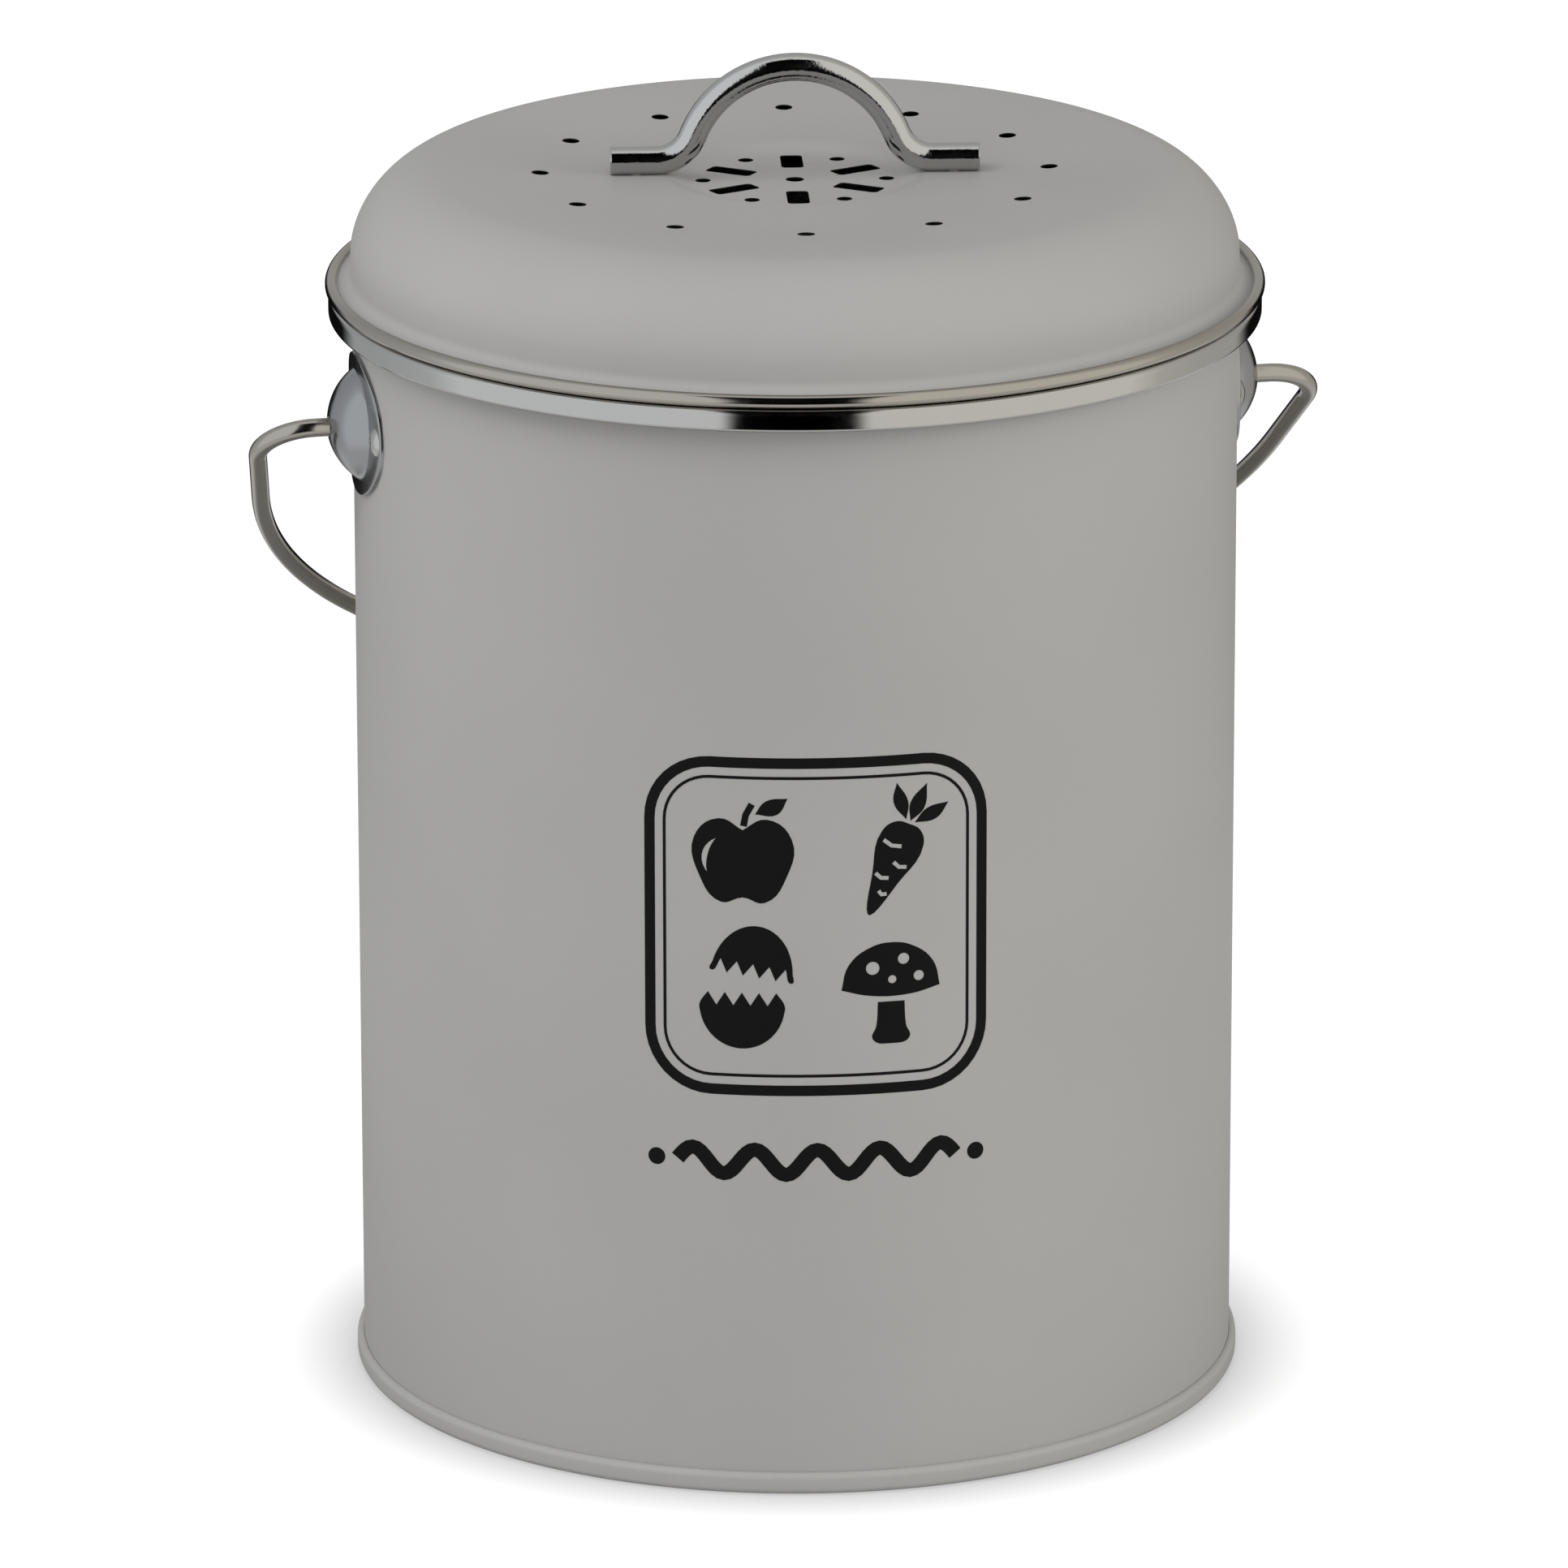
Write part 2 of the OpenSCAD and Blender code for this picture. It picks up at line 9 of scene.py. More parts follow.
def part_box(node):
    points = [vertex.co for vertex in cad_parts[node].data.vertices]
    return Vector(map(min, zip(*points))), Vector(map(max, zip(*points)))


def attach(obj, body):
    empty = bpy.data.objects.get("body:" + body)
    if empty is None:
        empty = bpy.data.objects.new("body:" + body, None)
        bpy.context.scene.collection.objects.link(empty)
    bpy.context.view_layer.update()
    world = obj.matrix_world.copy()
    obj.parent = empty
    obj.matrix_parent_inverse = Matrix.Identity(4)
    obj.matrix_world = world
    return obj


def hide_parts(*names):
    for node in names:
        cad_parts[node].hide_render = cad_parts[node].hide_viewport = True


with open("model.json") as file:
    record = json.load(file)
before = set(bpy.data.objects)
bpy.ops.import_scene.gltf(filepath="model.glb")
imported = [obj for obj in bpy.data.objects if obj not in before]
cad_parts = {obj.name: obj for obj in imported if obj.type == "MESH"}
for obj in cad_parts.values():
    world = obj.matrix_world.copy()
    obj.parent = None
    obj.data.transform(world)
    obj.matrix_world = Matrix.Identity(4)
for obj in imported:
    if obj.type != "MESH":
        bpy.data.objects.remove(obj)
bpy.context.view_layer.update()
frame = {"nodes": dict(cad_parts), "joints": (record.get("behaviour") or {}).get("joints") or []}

# ---------------------------------------------------------------- sizes, in metres
MM = 0.001

# The can: sizes that the frame holds, then those that it doesn't
wall_low, wall_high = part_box("body_shell")
WALL_R = wall_high.x
WALL_TOP = wall_high.z
BASE_T = wall_low.z
WALL_T = 0.6 * MM
MOUTH_R = WALL_R - WALL_T

bead_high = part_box("base_pan")[1]
BEAD_R = bead_high.x - 0.05 * MM
BEAD_H = bead_high.z
FLOOR_LIFT = 3.0 * MM

rim_low, rim_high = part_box("body_rim")
RIM_TOP = rim_high.z
RIM_LOW = rim_low.z
RIM_OUT_R = rim_high.x
RIM_TOP_EDGE_R = 1.4 * MM
RIM_LOW_EDGE_R = 0.8 * MM

# Ears and rivets
JOINTS = {joint["name"]: joint for joint in frame["joints"]}
PIVOT_Z = JOINTS["bail_swing"]["pos_m"][2]
ear_low, ear_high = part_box("right_ear")
EAR_HALF_W = ear_high.y
EAR_HALF_H = (ear_high.z - ear_low.z) / 2
EAR_RISE = (ear_high.z + ear_low.z) / 2 - PIVOT_Z
EAR_T = 0.8 * MM
DOME_R = 13.3 * MM
DOME_CENTRE_X = WALL_R + 6.3 * MM - DOME_R
RIVET_OUT = 14.3 * MM
RIVET_HEAD_R = 2.7 * MM
RIVET_HEAD_T = 1.0 * MM
RIVET_SHANK_R = 1.25 * MM

# The bail; the wire is 3.6 mm thick, and a hair thinner here to stay inside the frame's box
WIRE_R = 1.79 * MM
EAR_HOLE_R = WIRE_R + 0.1 * MM
BAIL_S = WALL_R + 20.3 * MM
BAIL_HANG = radians(41)
BAIL_BACK = 1.25 * MM
BAIL_CORNER_R = 10.0 * MM
BAIL_EASING = 3.9 * MM
WIRE_HEAD_X = 89.22 * MM
WIRE_HEAD_R = 3.2 * MM
WIRE_HEAD_T = 1.5 * MM

# The lid: its flat middle, the low crown round it, and the shoulder down to its rim
LID_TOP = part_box("lid_handle")[0].z
CROWN_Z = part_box("lid_shell")[1].z
CROWN_W = 34 * MM
# The lid's sheet is 0.6 mm, and drawn thinner so that its vents read as dark openings
LID_T = 0.2 * MM
LID_RING_R = RIM_OUT_R - 0.7 * MM
LID_RING_Z = 219.114 * MM
LID_ROLL_R = 1.29 * MM
SKIRT_R = WALL_R + 0.2 * MM
FLARE_R = 2.6 * MM
FLANGE_Z = LID_RING_Z + 0.4 * MM
SKIRT_LOW = FLANGE_Z + FLARE_R
SHOULDER_W = 16.2 * MM
SHOULDER_H = 16.8 * MM
SHOULDER_POWER = 1.85
DISH_DEPTH = 1.5 * MM
DISH_R = 25.6 * MM
DISH_FLOOR_R = 20.0 * MM
LID_TURN = radians(-9.4)

# The lid's vents: one hole in the middle, a ring of holes and slots in the dish, and an outer ring
CENTRE_VENT_R = 1.8 * MM
OUTER_VENTS = 12
OUTER_VENT_R = 1.7 * MM
OUTER_RING_R = 49.3 * MM
DISH_VENTS = 6
DISH_VENT_R = 1.5 * MM
DISH_RING_R = 17.8 * MM
SLOT_RING_R = 13.9 * MM
SLOT_HALF_L = 4.8 * MM
SLOT_HALF_W = 2.15 * MM
SLOT_CORNER_R = 0.9 * MM

# The lid handle; the rod is 5.5 mm thick, and a hair thinner here to stay inside the frame's box
ROD_R = 2.735 * MM
HANDLE_L = 71.5 * MM
ARCH_RISE = 18.3 * MM
ARCH_R = 21.2 * MM
FOOT_BEND_R = 7.6 * MM
ARCH_SLOPE = radians(67)
FOOT_FLAT = 0.15 * MM

# Segments round a large ring, a moulding, a rod and a small hole
RING_SEGMENTS = 288
MOULDING_SEGMENTS = 192
ROD_SEGMENTS = 40
HOLE_SEGMENTS = 40


# ---------------------------------------------------------------- material tools
def linear(hex_colour):
    """An sRGB hex colour as linear RGBA."""
    values = [int(hex_colour[i:i + 2], 16) / 255 for i in (1, 3, 5)]
    return tuple(v / 12.92 if v <= 0.04045 else ((v + 0.055) / 1.055) ** 2.4 for v in values) + (1.0,)


def add(tree, kind, settings=None, links=None):
    """Adds a node, sets its properties and inputs, and links sockets into its inputs."""
    node = tree.nodes.new(kind)
    for key, value in (settings or {}).items():
        if hasattr(node, str(key)):
            setattr(node, key, value)
        else:
            node.inputs[key].default_value = value
    for key, socket in (links or {}).items():
        tree.links.new(socket, node.inputs[key])
    return node


def new_material(name):
    """An empty node material, its tree, and the place on the object that its patterns follow."""
    material = bpy.data.materials.new(name)
    material.use_nodes = True
    tree = material.node_tree
    tree.nodes.clear()
    return material, tree, add(tree, "ShaderNodeTexCoord").outputs["Object"]


def powder_coat():
    """Polyester powder coat sprayed on steel and baked: an even warm grey that reads satin, neither
    matt nor wet, with a fine orange peel that breaks up its soft sheen."""
    material, tree, place = new_material("satin_grey_powder_coat")
    # Orange peel on powder coat is 1 to 2 mm from bump to bump
    peel = add(tree, "ShaderNodeTexNoise", {"Scale": 1 / (1.4 * MM), "Detail": 2.0}, {"Vector": place})
    # Powder grains are about 0.05 mm; drawn at 0.35 mm so that they show
    grain = add(tree, "ShaderNodeTexNoise", {"Scale": 1 / (0.35 * MM), "Detail": 1.0}, {"Vector": place})
    # Film thickness drifts over 60 mm or so
    drift = add(tree, "ShaderNodeTexNoise", {"Scale": 1 / (60 * MM), "Detail": 2.0}, {"Vector": place})
    tone = add(
        tree, "ShaderNodeMapRange", {"From Min": 0.3, "From Max": 0.7}, {"Value": drift.outputs["Fac"]})
    colour = add(
        tree, "ShaderNodeMix", {"data_type": "RGBA", 6: linear("#a5a4a2"), 7: linear("#a9a8a6")},
        {0: tone.outputs["Result"]})
    rough = add(
        tree, "ShaderNodeMapRange", {"From Min": 0.3, "From Max": 0.7, "To Min": 0.5, "To Max": 0.58},
        {"Value": grain.outputs["Fac"]}).outputs["Result"]
    fine = add(
        tree, "ShaderNodeBump", {"Strength": 0.12, "Distance": 0.02 * MM}, {"Height": grain.outputs["Fac"]})
    bump = add(
        tree, "ShaderNodeBump", {"Strength": 0.2, "Distance": 0.02 * MM},
        {"Height": peel.outputs["Fac"], "Normal": fine.outputs["Normal"]})
    shader = add(
        tree, "ShaderNodeBsdfPrincipled", {"IOR": 1.5, "Metallic": 0.0},
        {"Base Color": colour.outputs[2], "Roughness": rough, "Normal": bump.outputs["Normal"]})
    add(tree, "ShaderNodeOutputMaterial", links={"Surface": shader.outputs[0]})
    return material


def steel(name, hex_colour, rough, ripple_mm, depth_mm):
    """Bare or plated steel. Its gloss drifts between two roughnesses, as polishing leaves it, and its
    surface ripples every ripple_mm, depth_mm deep, which makes its reflections waver."""
    material, tree, place = new_material(name)
    # Polishing haze comes and goes over a few millimetres
    haze = add(tree, "ShaderNodeTexNoise", {"Scale": 1 / (4 * MM), "Detail": 4.0}, {"Vector": place})
    waves = add(tree, "ShaderNodeTexNoise", {"Scale": 1 / (ripple_mm * MM), "Detail": 3.0}, {"Vector": place})
    gloss = add(
        tree, "ShaderNodeMapRange",
        {"From Min": 0.3, "From Max": 0.7, "To Min": rough[0], "To Max": rough[1]},
        {"Value": haze.outputs["Fac"]})
    bump = add(
        tree, "ShaderNodeBump", {"Strength": 1.0, "Distance": depth_mm * MM},
        {"Height": waves.outputs["Fac"]})
    shader = add(
        tree, "ShaderNodeBsdfPrincipled", {"Metallic": 1.0, "Base Color": linear(hex_colour)},
        {"Roughness": gloss.outputs["Result"], "Normal": bump.outputs["Normal"]})
    add(tree, "ShaderNodeOutputMaterial", links={"Surface": shader.outputs[0]})
    return material


def plastic(name, hex_dark, hex_light, rough, grain_mm):
    """Injection-moulded plastic from a spark-eroded tool, whose texture of grain_mm turns the gloss
    into a faint even sheen."""
    material, tree, place = new_material(name)
    grain = add(tree, "ShaderNodeTexNoise", {"Scale": 1 / (grain_mm * MM), "Detail": 3.0}, {"Vector": place})
    # Melt flow tints a moulding over about 35 mm
    flow = add(tree, "ShaderNodeTexNoise", {"Scale": 1 / (35 * MM), "Detail": 2.0}, {"Vector": place})
    colour = add(
        tree, "ShaderNodeMix", {"data_type": "RGBA", 6: linear(hex_dark), 7: linear(hex_light)},
        {0: flow.outputs["Fac"]})
    bump = add(
        tree, "ShaderNodeBump", {"Strength": 0.3, "Distance": 0.03 * MM}, {"Height": grain.outputs["Fac"]})
    shader = add(
        tree, "ShaderNodeBsdfPrincipled", {"Roughness": rough, "IOR": 1.49},
        {"Base Color": colour.outputs[2], "Normal": bump.outputs["Normal"]})
    add(tree, "ShaderNodeOutputMaterial", links={"Surface": shader.outputs[0]})
    return material


def printed_ink():
    """Screen-printed black enamel ink: matt, opaque, with the faint texture of the coat below it."""
    material, tree, place = new_material("screen_printed_black_ink")
    # Marks of the printing mesh, drawn at 0.4 mm so that they show
    mesh_marks = add(tree, "ShaderNodeTexNoise", {"Scale": 1 / (0.4 * MM), "Detail": 2.0}, {"Vector": place})
    colour = add(
        tree, "ShaderNodeMix", {"data_type": "RGBA", 6: linear("#020202"), 7: linear("#0a0a0a")},
        {0: mesh_marks.outputs["Fac"]})
    bump = add(
        tree, "ShaderNodeBump", {"Strength": 0.2, "Distance": 0.01 * MM},
        {"Height": mesh_marks.outputs["Fac"]})
    shader = add(
        tree, "ShaderNodeBsdfPrincipled", {"Roughness": 0.7, "IOR": 1.48, "Specular IOR Level": 0.2},
        {"Base Color": colour.outputs[2], "Normal": bump.outputs["Normal"]})
    add(tree, "ShaderNodeOutputMaterial", links={"Surface": shader.outputs[0]})
    return material


def carbon_felt():
    """Needled felt loaded with charcoal: near black, fibrous, with loose grey fibres on top."""
    material, tree, place = new_material("needled_carbon_felt")
    # Felt fibres are finer than 0.05 mm; the tufts that they make are 0.6 mm across
    tufts = add(tree, "ShaderNodeTexNoise", {"Scale": 1 / (0.6 * MM), "Detail": 6.0}, {"Vector": place})
    colour = add(
        tree, "ShaderNodeMix", {"data_type": "RGBA", 6: linear("#101112"), 7: linear("#3a3b3d")},
        {0: tufts.outputs["Fac"]})
    bump = add(
        tree, "ShaderNodeBump", {"Strength": 0.9, "Distance": 0.4 * MM}, {"Height": tufts.outputs["Fac"]})
    shader = add(
        tree, "ShaderNodeBsdfPrincipled", {"Roughness": 0.95, "IOR": 1.45, "Sheen Weight": 0.3},
        {"Base Color": colour.outputs[2], "Normal": bump.outputs["Normal"]})
    add(tree, "ShaderNodeOutputMaterial", links={"Surface": shader.outputs[0]})
    return material


def painted_vent_shade():
    """The walls of the punched vents, coloured near black as painted shade, so that the vents read as dark
    openings.
    """
    material, tree, place = new_material("painted_shade_on_vent_walls")
    # Shear marks of the punch are about 0.2 mm apart
    marks = add(tree, "ShaderNodeTexNoise", {"Scale": 1 / (0.2 * MM), "Detail": 2.0}, {"Vector": place})
    colour = add(
        tree, "ShaderNodeMix", {"data_type": "RGBA", 6: linear("#0c0c0c"), 7: linear("#1c1c1c")},
        {0: marks.outputs["Fac"]})
    shader = add(tree, "ShaderNodeBsdfPrincipled", {"Roughness": 0.7}, {"Base Color": colour.outputs[2]})
    add(tree, "ShaderNodeOutputMaterial", links={"Surface": shader.outputs[0]})
    return material


# ---------------------------------------------------------------- mesh tools
def arc(centre, radius, start, end, steps):
    """Points on an arc; angles in degrees."""
    turns = [radians(start + (end - start) * i / steps) for i in range(steps + 1)]
    return [(centre[0] + radius * cos(a), centre[1] + radius * sin(a)) for a in turns]


def angles(steps):
    """The angles of evenly spaced points round a circle."""
    return [2 * pi * i / steps for i in range(steps)]


def ring_faces(rings, count, closed):
    """Quads between successive rings of count vertices; closed joins the last ring to the first."""
    faces = []
    for i in range(rings if closed else rings - 1):
        a, b = i * count, (i + 1) % rings * count
        for j in range(count):
            k = (j + 1) % count
            faces.append((a + j, a + k, b + k, b + j))
    return faces


def new_object(name, data):
    """Puts a mesh, a curve, a lamp or a camera in the scene."""
    thing = bpy.data.objects.new(name, data)
    bpy.context.scene.collection.objects.link(thing)
    return thing


def new_mesh(name, shape):
    """A mesh from a shape, which is its vertices and its faces."""
    verts, faces = shape
    mesh = bpy.data.meshes.new(name)
    mesh.from_pydata([tuple(v) for v in verts], [], faces)
    return mesh


def make_piece(name, shape, material, body, nodes=(), crease=32):
    """A smooth-shaded piece that rides on a body and stands for the CAD nodes that it names."""
    mesh = new_mesh(name, shape)
    work = bmesh.new()
    work.from_mesh(mesh)
    bmesh.ops.remove_doubles(work, verts=work.verts, dist=1e-7)
    bmesh.ops.recalc_face_normals(work, faces=work.faces)
    work.to_mesh(mesh)
    work.free()
    piece = new_object(name, mesh)
    dress(piece, material, crease)
    settle(piece, body, nodes)
    return piece


def dress(piece, material, crease):
    """Gives a piece its material, smooth shading and sharp edges past the crease angle."""
    piece.data.materials.clear()
    piece.data.materials.append(material)
    for face in piece.data.polygons:
        face.use_smooth = True
    piece.data.set_sharp_from_angle(angle=radians(crease))


def settle(piece, body, nodes):
    """Rides a piece on its body, and hides the CAD nodes that it stands for."""
    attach(piece, body)
    if nodes:
        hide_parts(*nodes)


def placed(shape, matrix):
    """A shape moved by a matrix."""
    verts, faces = shape
    return [matrix @ v for v in verts], faces


def lathe(profile, closed=True, segments=RING_SEGMENTS):
    """Turns a profile of (radius, height) about Z. An open profile starts and ends on the axis."""
    verts = []
    inner = profile if closed else profile[1:-1]
    for radius, height in inner:
        verts += [Vector((radius * cos(a), radius * sin(a), height)) for a in angles(segments)]
    faces = ring_faces(len(inner), segments, closed)
    if not closed:
        for end, ring in ((profile[0], 0), (profile[-1], len(inner) - 1)):
            verts.append(Vector((0, 0, end[1])))
            hub = len(verts) - 1
            for j in range(segments):
                faces.append((ring * segments + j, ring * segments + (j + 1) % segments, hub))
    return verts, faces


def sweep(path, radius, chamfer):
    """A round rod along a path in the X-Y plane, with chamfered square-cut ends."""
    up = Vector((0, 0, 1))
    stations = []
    for i, point in enumerate(path):
        before, after = path[max(i - 1, 0)], path[min(i + 1, len(path) - 1)]
        tangent = (after - before).normalized()
        stations.append((point, tangent, radius))
    first, last = stations[0], stations[-1]
    stations[0] = (first[0] + first[1] * chamfer, first[1], radius)
    stations[-1] = (last[0] - last[1] * chamfer, last[1], radius)
    stations.insert(0, (first[0], first[1], radius - chamfer))
    stations.append((last[0], last[1], radius - chamfer))
    verts = []
    for point, tangent, r in stations:
        side = up.cross(tangent)
        verts += [point + r * (cos(a) * side + sin(a) * up) for a in angles(ROD_SEGMENTS)]
    faces = ring_faces(len(stations), ROD_SEGMENTS, False)
    faces.append(tuple(range(ROD_SEGMENTS)))
    faces.append(tuple(range(len(verts) - ROD_SEGMENTS, len(verts))))
    return verts, faces


def join_shapes(shapes):
    """One list of vertices and faces from several."""
    verts, faces = [], []
    for some_verts, some_faces in shapes:
        base = len(verts)
        verts += some_verts
        faces += [tuple(base + i for i in face) for face in some_faces]
    return verts, faces


def spaced(start, end, step):
    """Points from start up to but not including end, at most step apart."""
    count = max(1, round((end - start).length / step))
    return [start.lerp(end, i / count) for i in range(count)]


def arc_path(centre, radius, start, end, steps):
    """An arc as part of a path in the X-Y plane, without its last point; angles in radians."""
    points = arc(centre, radius, degrees(start), degrees(end), steps)
    return [Vector((x, y, 0)) for x, y in points[:-1]]


# ---------------------------------------------------------------- the can
def make_wall(paint):
    """The rolled can wall, an open tube of sheet."""
    bands = 24
    outside = [(WALL_R, BASE_T + (WALL_TOP - BASE_T) * i / bands) for i in range(bands + 1)]
    inside = [(MOUTH_R, z) for _, z in reversed(outside)]
    shape = lathe(outside + inside)
    make_piece("can_wall", shape, paint, "can", ["body_shell"])


def make_wall_seam(paint):
    """The welded side seam at the back, a low ridge under the powder coat."""
    half_angle = 1.5 * MM / WALL_R
    height = 0.16 * MM
    # The ridge starts just above the wall's facets and is rooted in the middle of the sheet
    skin_r = WALL_R + 0.01 * MM
    root_r = WALL_R - WALL_T / 2
    across, rows = 10, 30
    low, high = BEAD_H, RIM_LOW + 0.3 * MM
    verts = []
    for i in range(rows + 1):
        z = low + (high - low) * i / rows
        section = []
        for j in range(across + 1):
            t = -1 + 2 * j / across
            section.append((skin_r + height * cos(t * pi / 2) ** 2, pi / 2 + t * half_angle))
        section += [(root_r, pi / 2 + half_angle), (root_r, pi / 2 - half_angle)]
        verts += [Vector((radius * cos(angle), radius * sin(angle), z)) for radius, angle in section]
    around = across + 3
    faces = ring_faces(rows + 1, around, False)
    faces.append(tuple(range(around)))
    faces.append(tuple(range(rows * around, (rows + 1) * around)))
    make_piece("wall_seam", (verts, faces), paint, "can", (), 50)


def make_base(paint):
    """The pressed bottom with its rolled seam, which shows as the bead at the foot."""
    foot_in = MOUTH_R - BASE_T - 0.8 * MM
    bend_r = 1.6 * MM
    foot_r = 0.5 * MM
    bulge = 1.3 * MM
    profile = [(0, FLOOR_LIFT), (foot_in - bend_r, FLOOR_LIFT)]
    profile += arc((foot_in - bend_r, FLOOR_LIFT - bend_r), bend_r, 90, 0, 6)
    profile += arc((foot_in + foot_r, foot_r), foot_r, 180, 270, 4)
    profile += arc((BEAD_R - bulge, bulge), bulge, -90, 0, 8)
    profile += arc((BEAD_R - bulge, BEAD_H - bulge), bulge, 0, 88, 8)
    # The seam's top edge closes on the wall
    profile += [(WALL_R + 0.02 * MM, BEAD_H - 0.12 * MM), (WALL_R, BEAD_H - 0.6 * MM), (WALL_R, BASE_T)]
    profile += [(MOUTH_R, BASE_T), (MOUTH_R, FLOOR_LIFT + BASE_T), (0, FLOOR_LIFT + BASE_T)]
    shape = lathe(profile, closed=False)
    make_piece("base_with_foot_bead", shape, paint, "can", ["base_pan"])


def make_body_rim(bright):
    """The bright rim of the mouth, which sits on the wall's top edge and laps its outside."""
    profile = [(WALL_R, RIM_LOW + 0.05 * MM), (WALL_R + 0.3 * MM, RIM_LOW)]
    profile += arc((RIM_OUT_R - RIM_LOW_EDGE_R, RIM_LOW + RIM_LOW_EDGE_R), RIM_LOW_EDGE_R, -90, 0, 12)
    # Two rings just inside the flat outer face keep its shading flat between the rounded edges
    flat_low, flat_high = RIM_LOW + RIM_LOW_EDGE_R, RIM_TOP - RIM_TOP_EDGE_R
    profile += [(RIM_OUT_R, flat_low + 0.1 * MM), (RIM_OUT_R, flat_high - 0.1 * MM)]
    profile += arc((RIM_OUT_R - RIM_TOP_EDGE_R, flat_high), RIM_TOP_EDGE_R, 0, 90, 14)
    profile += [(MOUTH_R + 0.3 * MM, RIM_TOP), (MOUTH_R, RIM_TOP - 0.3 * MM)]
    profile += [(MOUTH_R, WALL_TOP), (WALL_R, WALL_TOP)]
    shape = lathe(profile)
    make_piece("mouth_rim", shape, bright, "can", ["body_rim"])


def ball_x(q, radius):
    """How far out the ear's dome lies at a distance q from its axis."""
    return DOME_CENTRE_X + sqrt(radius * radius - q * q)


def wall_x(y, radius):
    """How far out a sheet rolled to radius lies at y."""
    return sqrt(radius * radius - y * y)


def ear_rings():
    """The ear's skin as rings of (x, y, z) about the dome's axis, from the hole's edge outwards,
    round the plate's edge and back along the underside."""
    steps = 96
    # The dome ends at foot_q, and the flat plate starts at plate_q
    foot_q, plate_q = 10.6 * MM, 12.1 * MM
    lip = 0.3 * MM
    edge_round = 0.3 * MM
    plate_r = WALL_R + EAR_T
    # Past this the dome's sphere is too steep to blend from
    steep_q = 12.6 * MM

    def skin_x(q, y):
        """The outer skin: sphere inside foot_q, plate outside plate_q, blended between."""
        t = min(max((q - foot_q) / (plate_q - foot_q), 0), 1)
        t = t * t * (3 - 2 * t)
        plate = wall_x(y, plate_r)
        return plate if t >= 1 else (1 - t) * max(ball_x(min(q, steep_q), DOME_R), plate) + t * plate

    def circle_point(q, a):
        """A point on a circle about the dome's axis."""
        return q * sin(a), q * cos(a)

    def plate_point(t, a):
        """From the circle at plate_q, t = 0, out to the ear's oval edge, t = 1."""
        cy, cz = circle_point(plate_q, a)
        ey, ez = EAR_HALF_W * sin(a), EAR_HALF_H * cos(a)
        return cy + (ey - cy) * t, cz + (ez - cz) * t

    def plate_ring(t, drop=0.0):
        """A ring on the plate, drop below its skin."""
        points = [plate_point(t, a) for a in angles(steps)]
        return [(wall_x(y, plate_r - drop), y, z) for y, z in points]

    rings = []
    for i in range(4):
        bend = pi / 8 * i
        q = EAR_HOLE_R + lip * (1 - cos(bend))
        x = ball_x(EAR_HOLE_R + lip, DOME_R) - lip * (1 - sin(bend))
        rings.append([(x,) + circle_point(q, a) for a in angles(steps)])
    dome_steps = 22
    for i in range(dome_steps + 1):
        q = EAR_HOLE_R + lip + (plate_q - EAR_HOLE_R - lip) * i / dome_steps
        rings.append([(skin_x(q, q * sin(a)),) + circle_point(q, a) for a in angles(steps)])
    edge = edge_round / (EAR_HALF_W - plate_q)
    plate_steps = 5
    rings += [plate_ring((1 - 3 * edge) * i / plate_steps) for i in range(1, plate_steps + 1)]
    for t, drop in ((1 - edge, 0.02 * MM), (1 - 0.3 * edge, 0.1 * MM), (1.0, 0.3 * MM), (1.0, EAR_T)):
        rings.append(plate_ring(t, drop))
    # The hollow of the dome, from where it meets the wall up to the hole
    inner_r = DOME_R - EAR_T
    inner_q = sqrt(inner_r ** 2 - (WALL_R - DOME_CENTRE_X) ** 2) - 0.1 * MM
    rings.append([(wall_x(inner_q * sin(a), WALL_R),) + circle_point(inner_q, a) for a in angles(steps)])
    hollow_steps = 8
    for i in range(1, hollow_steps + 1):
        q = inner_q + (EAR_HOLE_R - inner_q) * i / hollow_steps
        rings.append([(ball_x(q, inner_r),) + circle_point(q, a) for a in angles(steps)])
    return rings


def make_ear(side, pressed):
    """A pressed ear: an oval plate rolled to the wall, with a hollow dome for the bail's end."""
    rings = ear_rings()
    fade_w = 6 * MM
    verts = []
    for ring in rings:
        for x, y, z in ring:
            # The hole for the wire is as far below the dome's middle as the ear sits above the pivot
            fade = max(0, 1 - (hypot(y, z) - EAR_HOLE_R) / fade_w)
            verts.append(Vector((side * x, y, z + PIVOT_Z + EAR_RISE * (1 - fade * fade))))
    shape = verts, ring_faces(len(rings), len(rings[0]), True)
    name = "right_ear" if side > 0 else "left_ear"
    make_piece(name + "_plate", shape, pressed, "can", [name], crease=40)


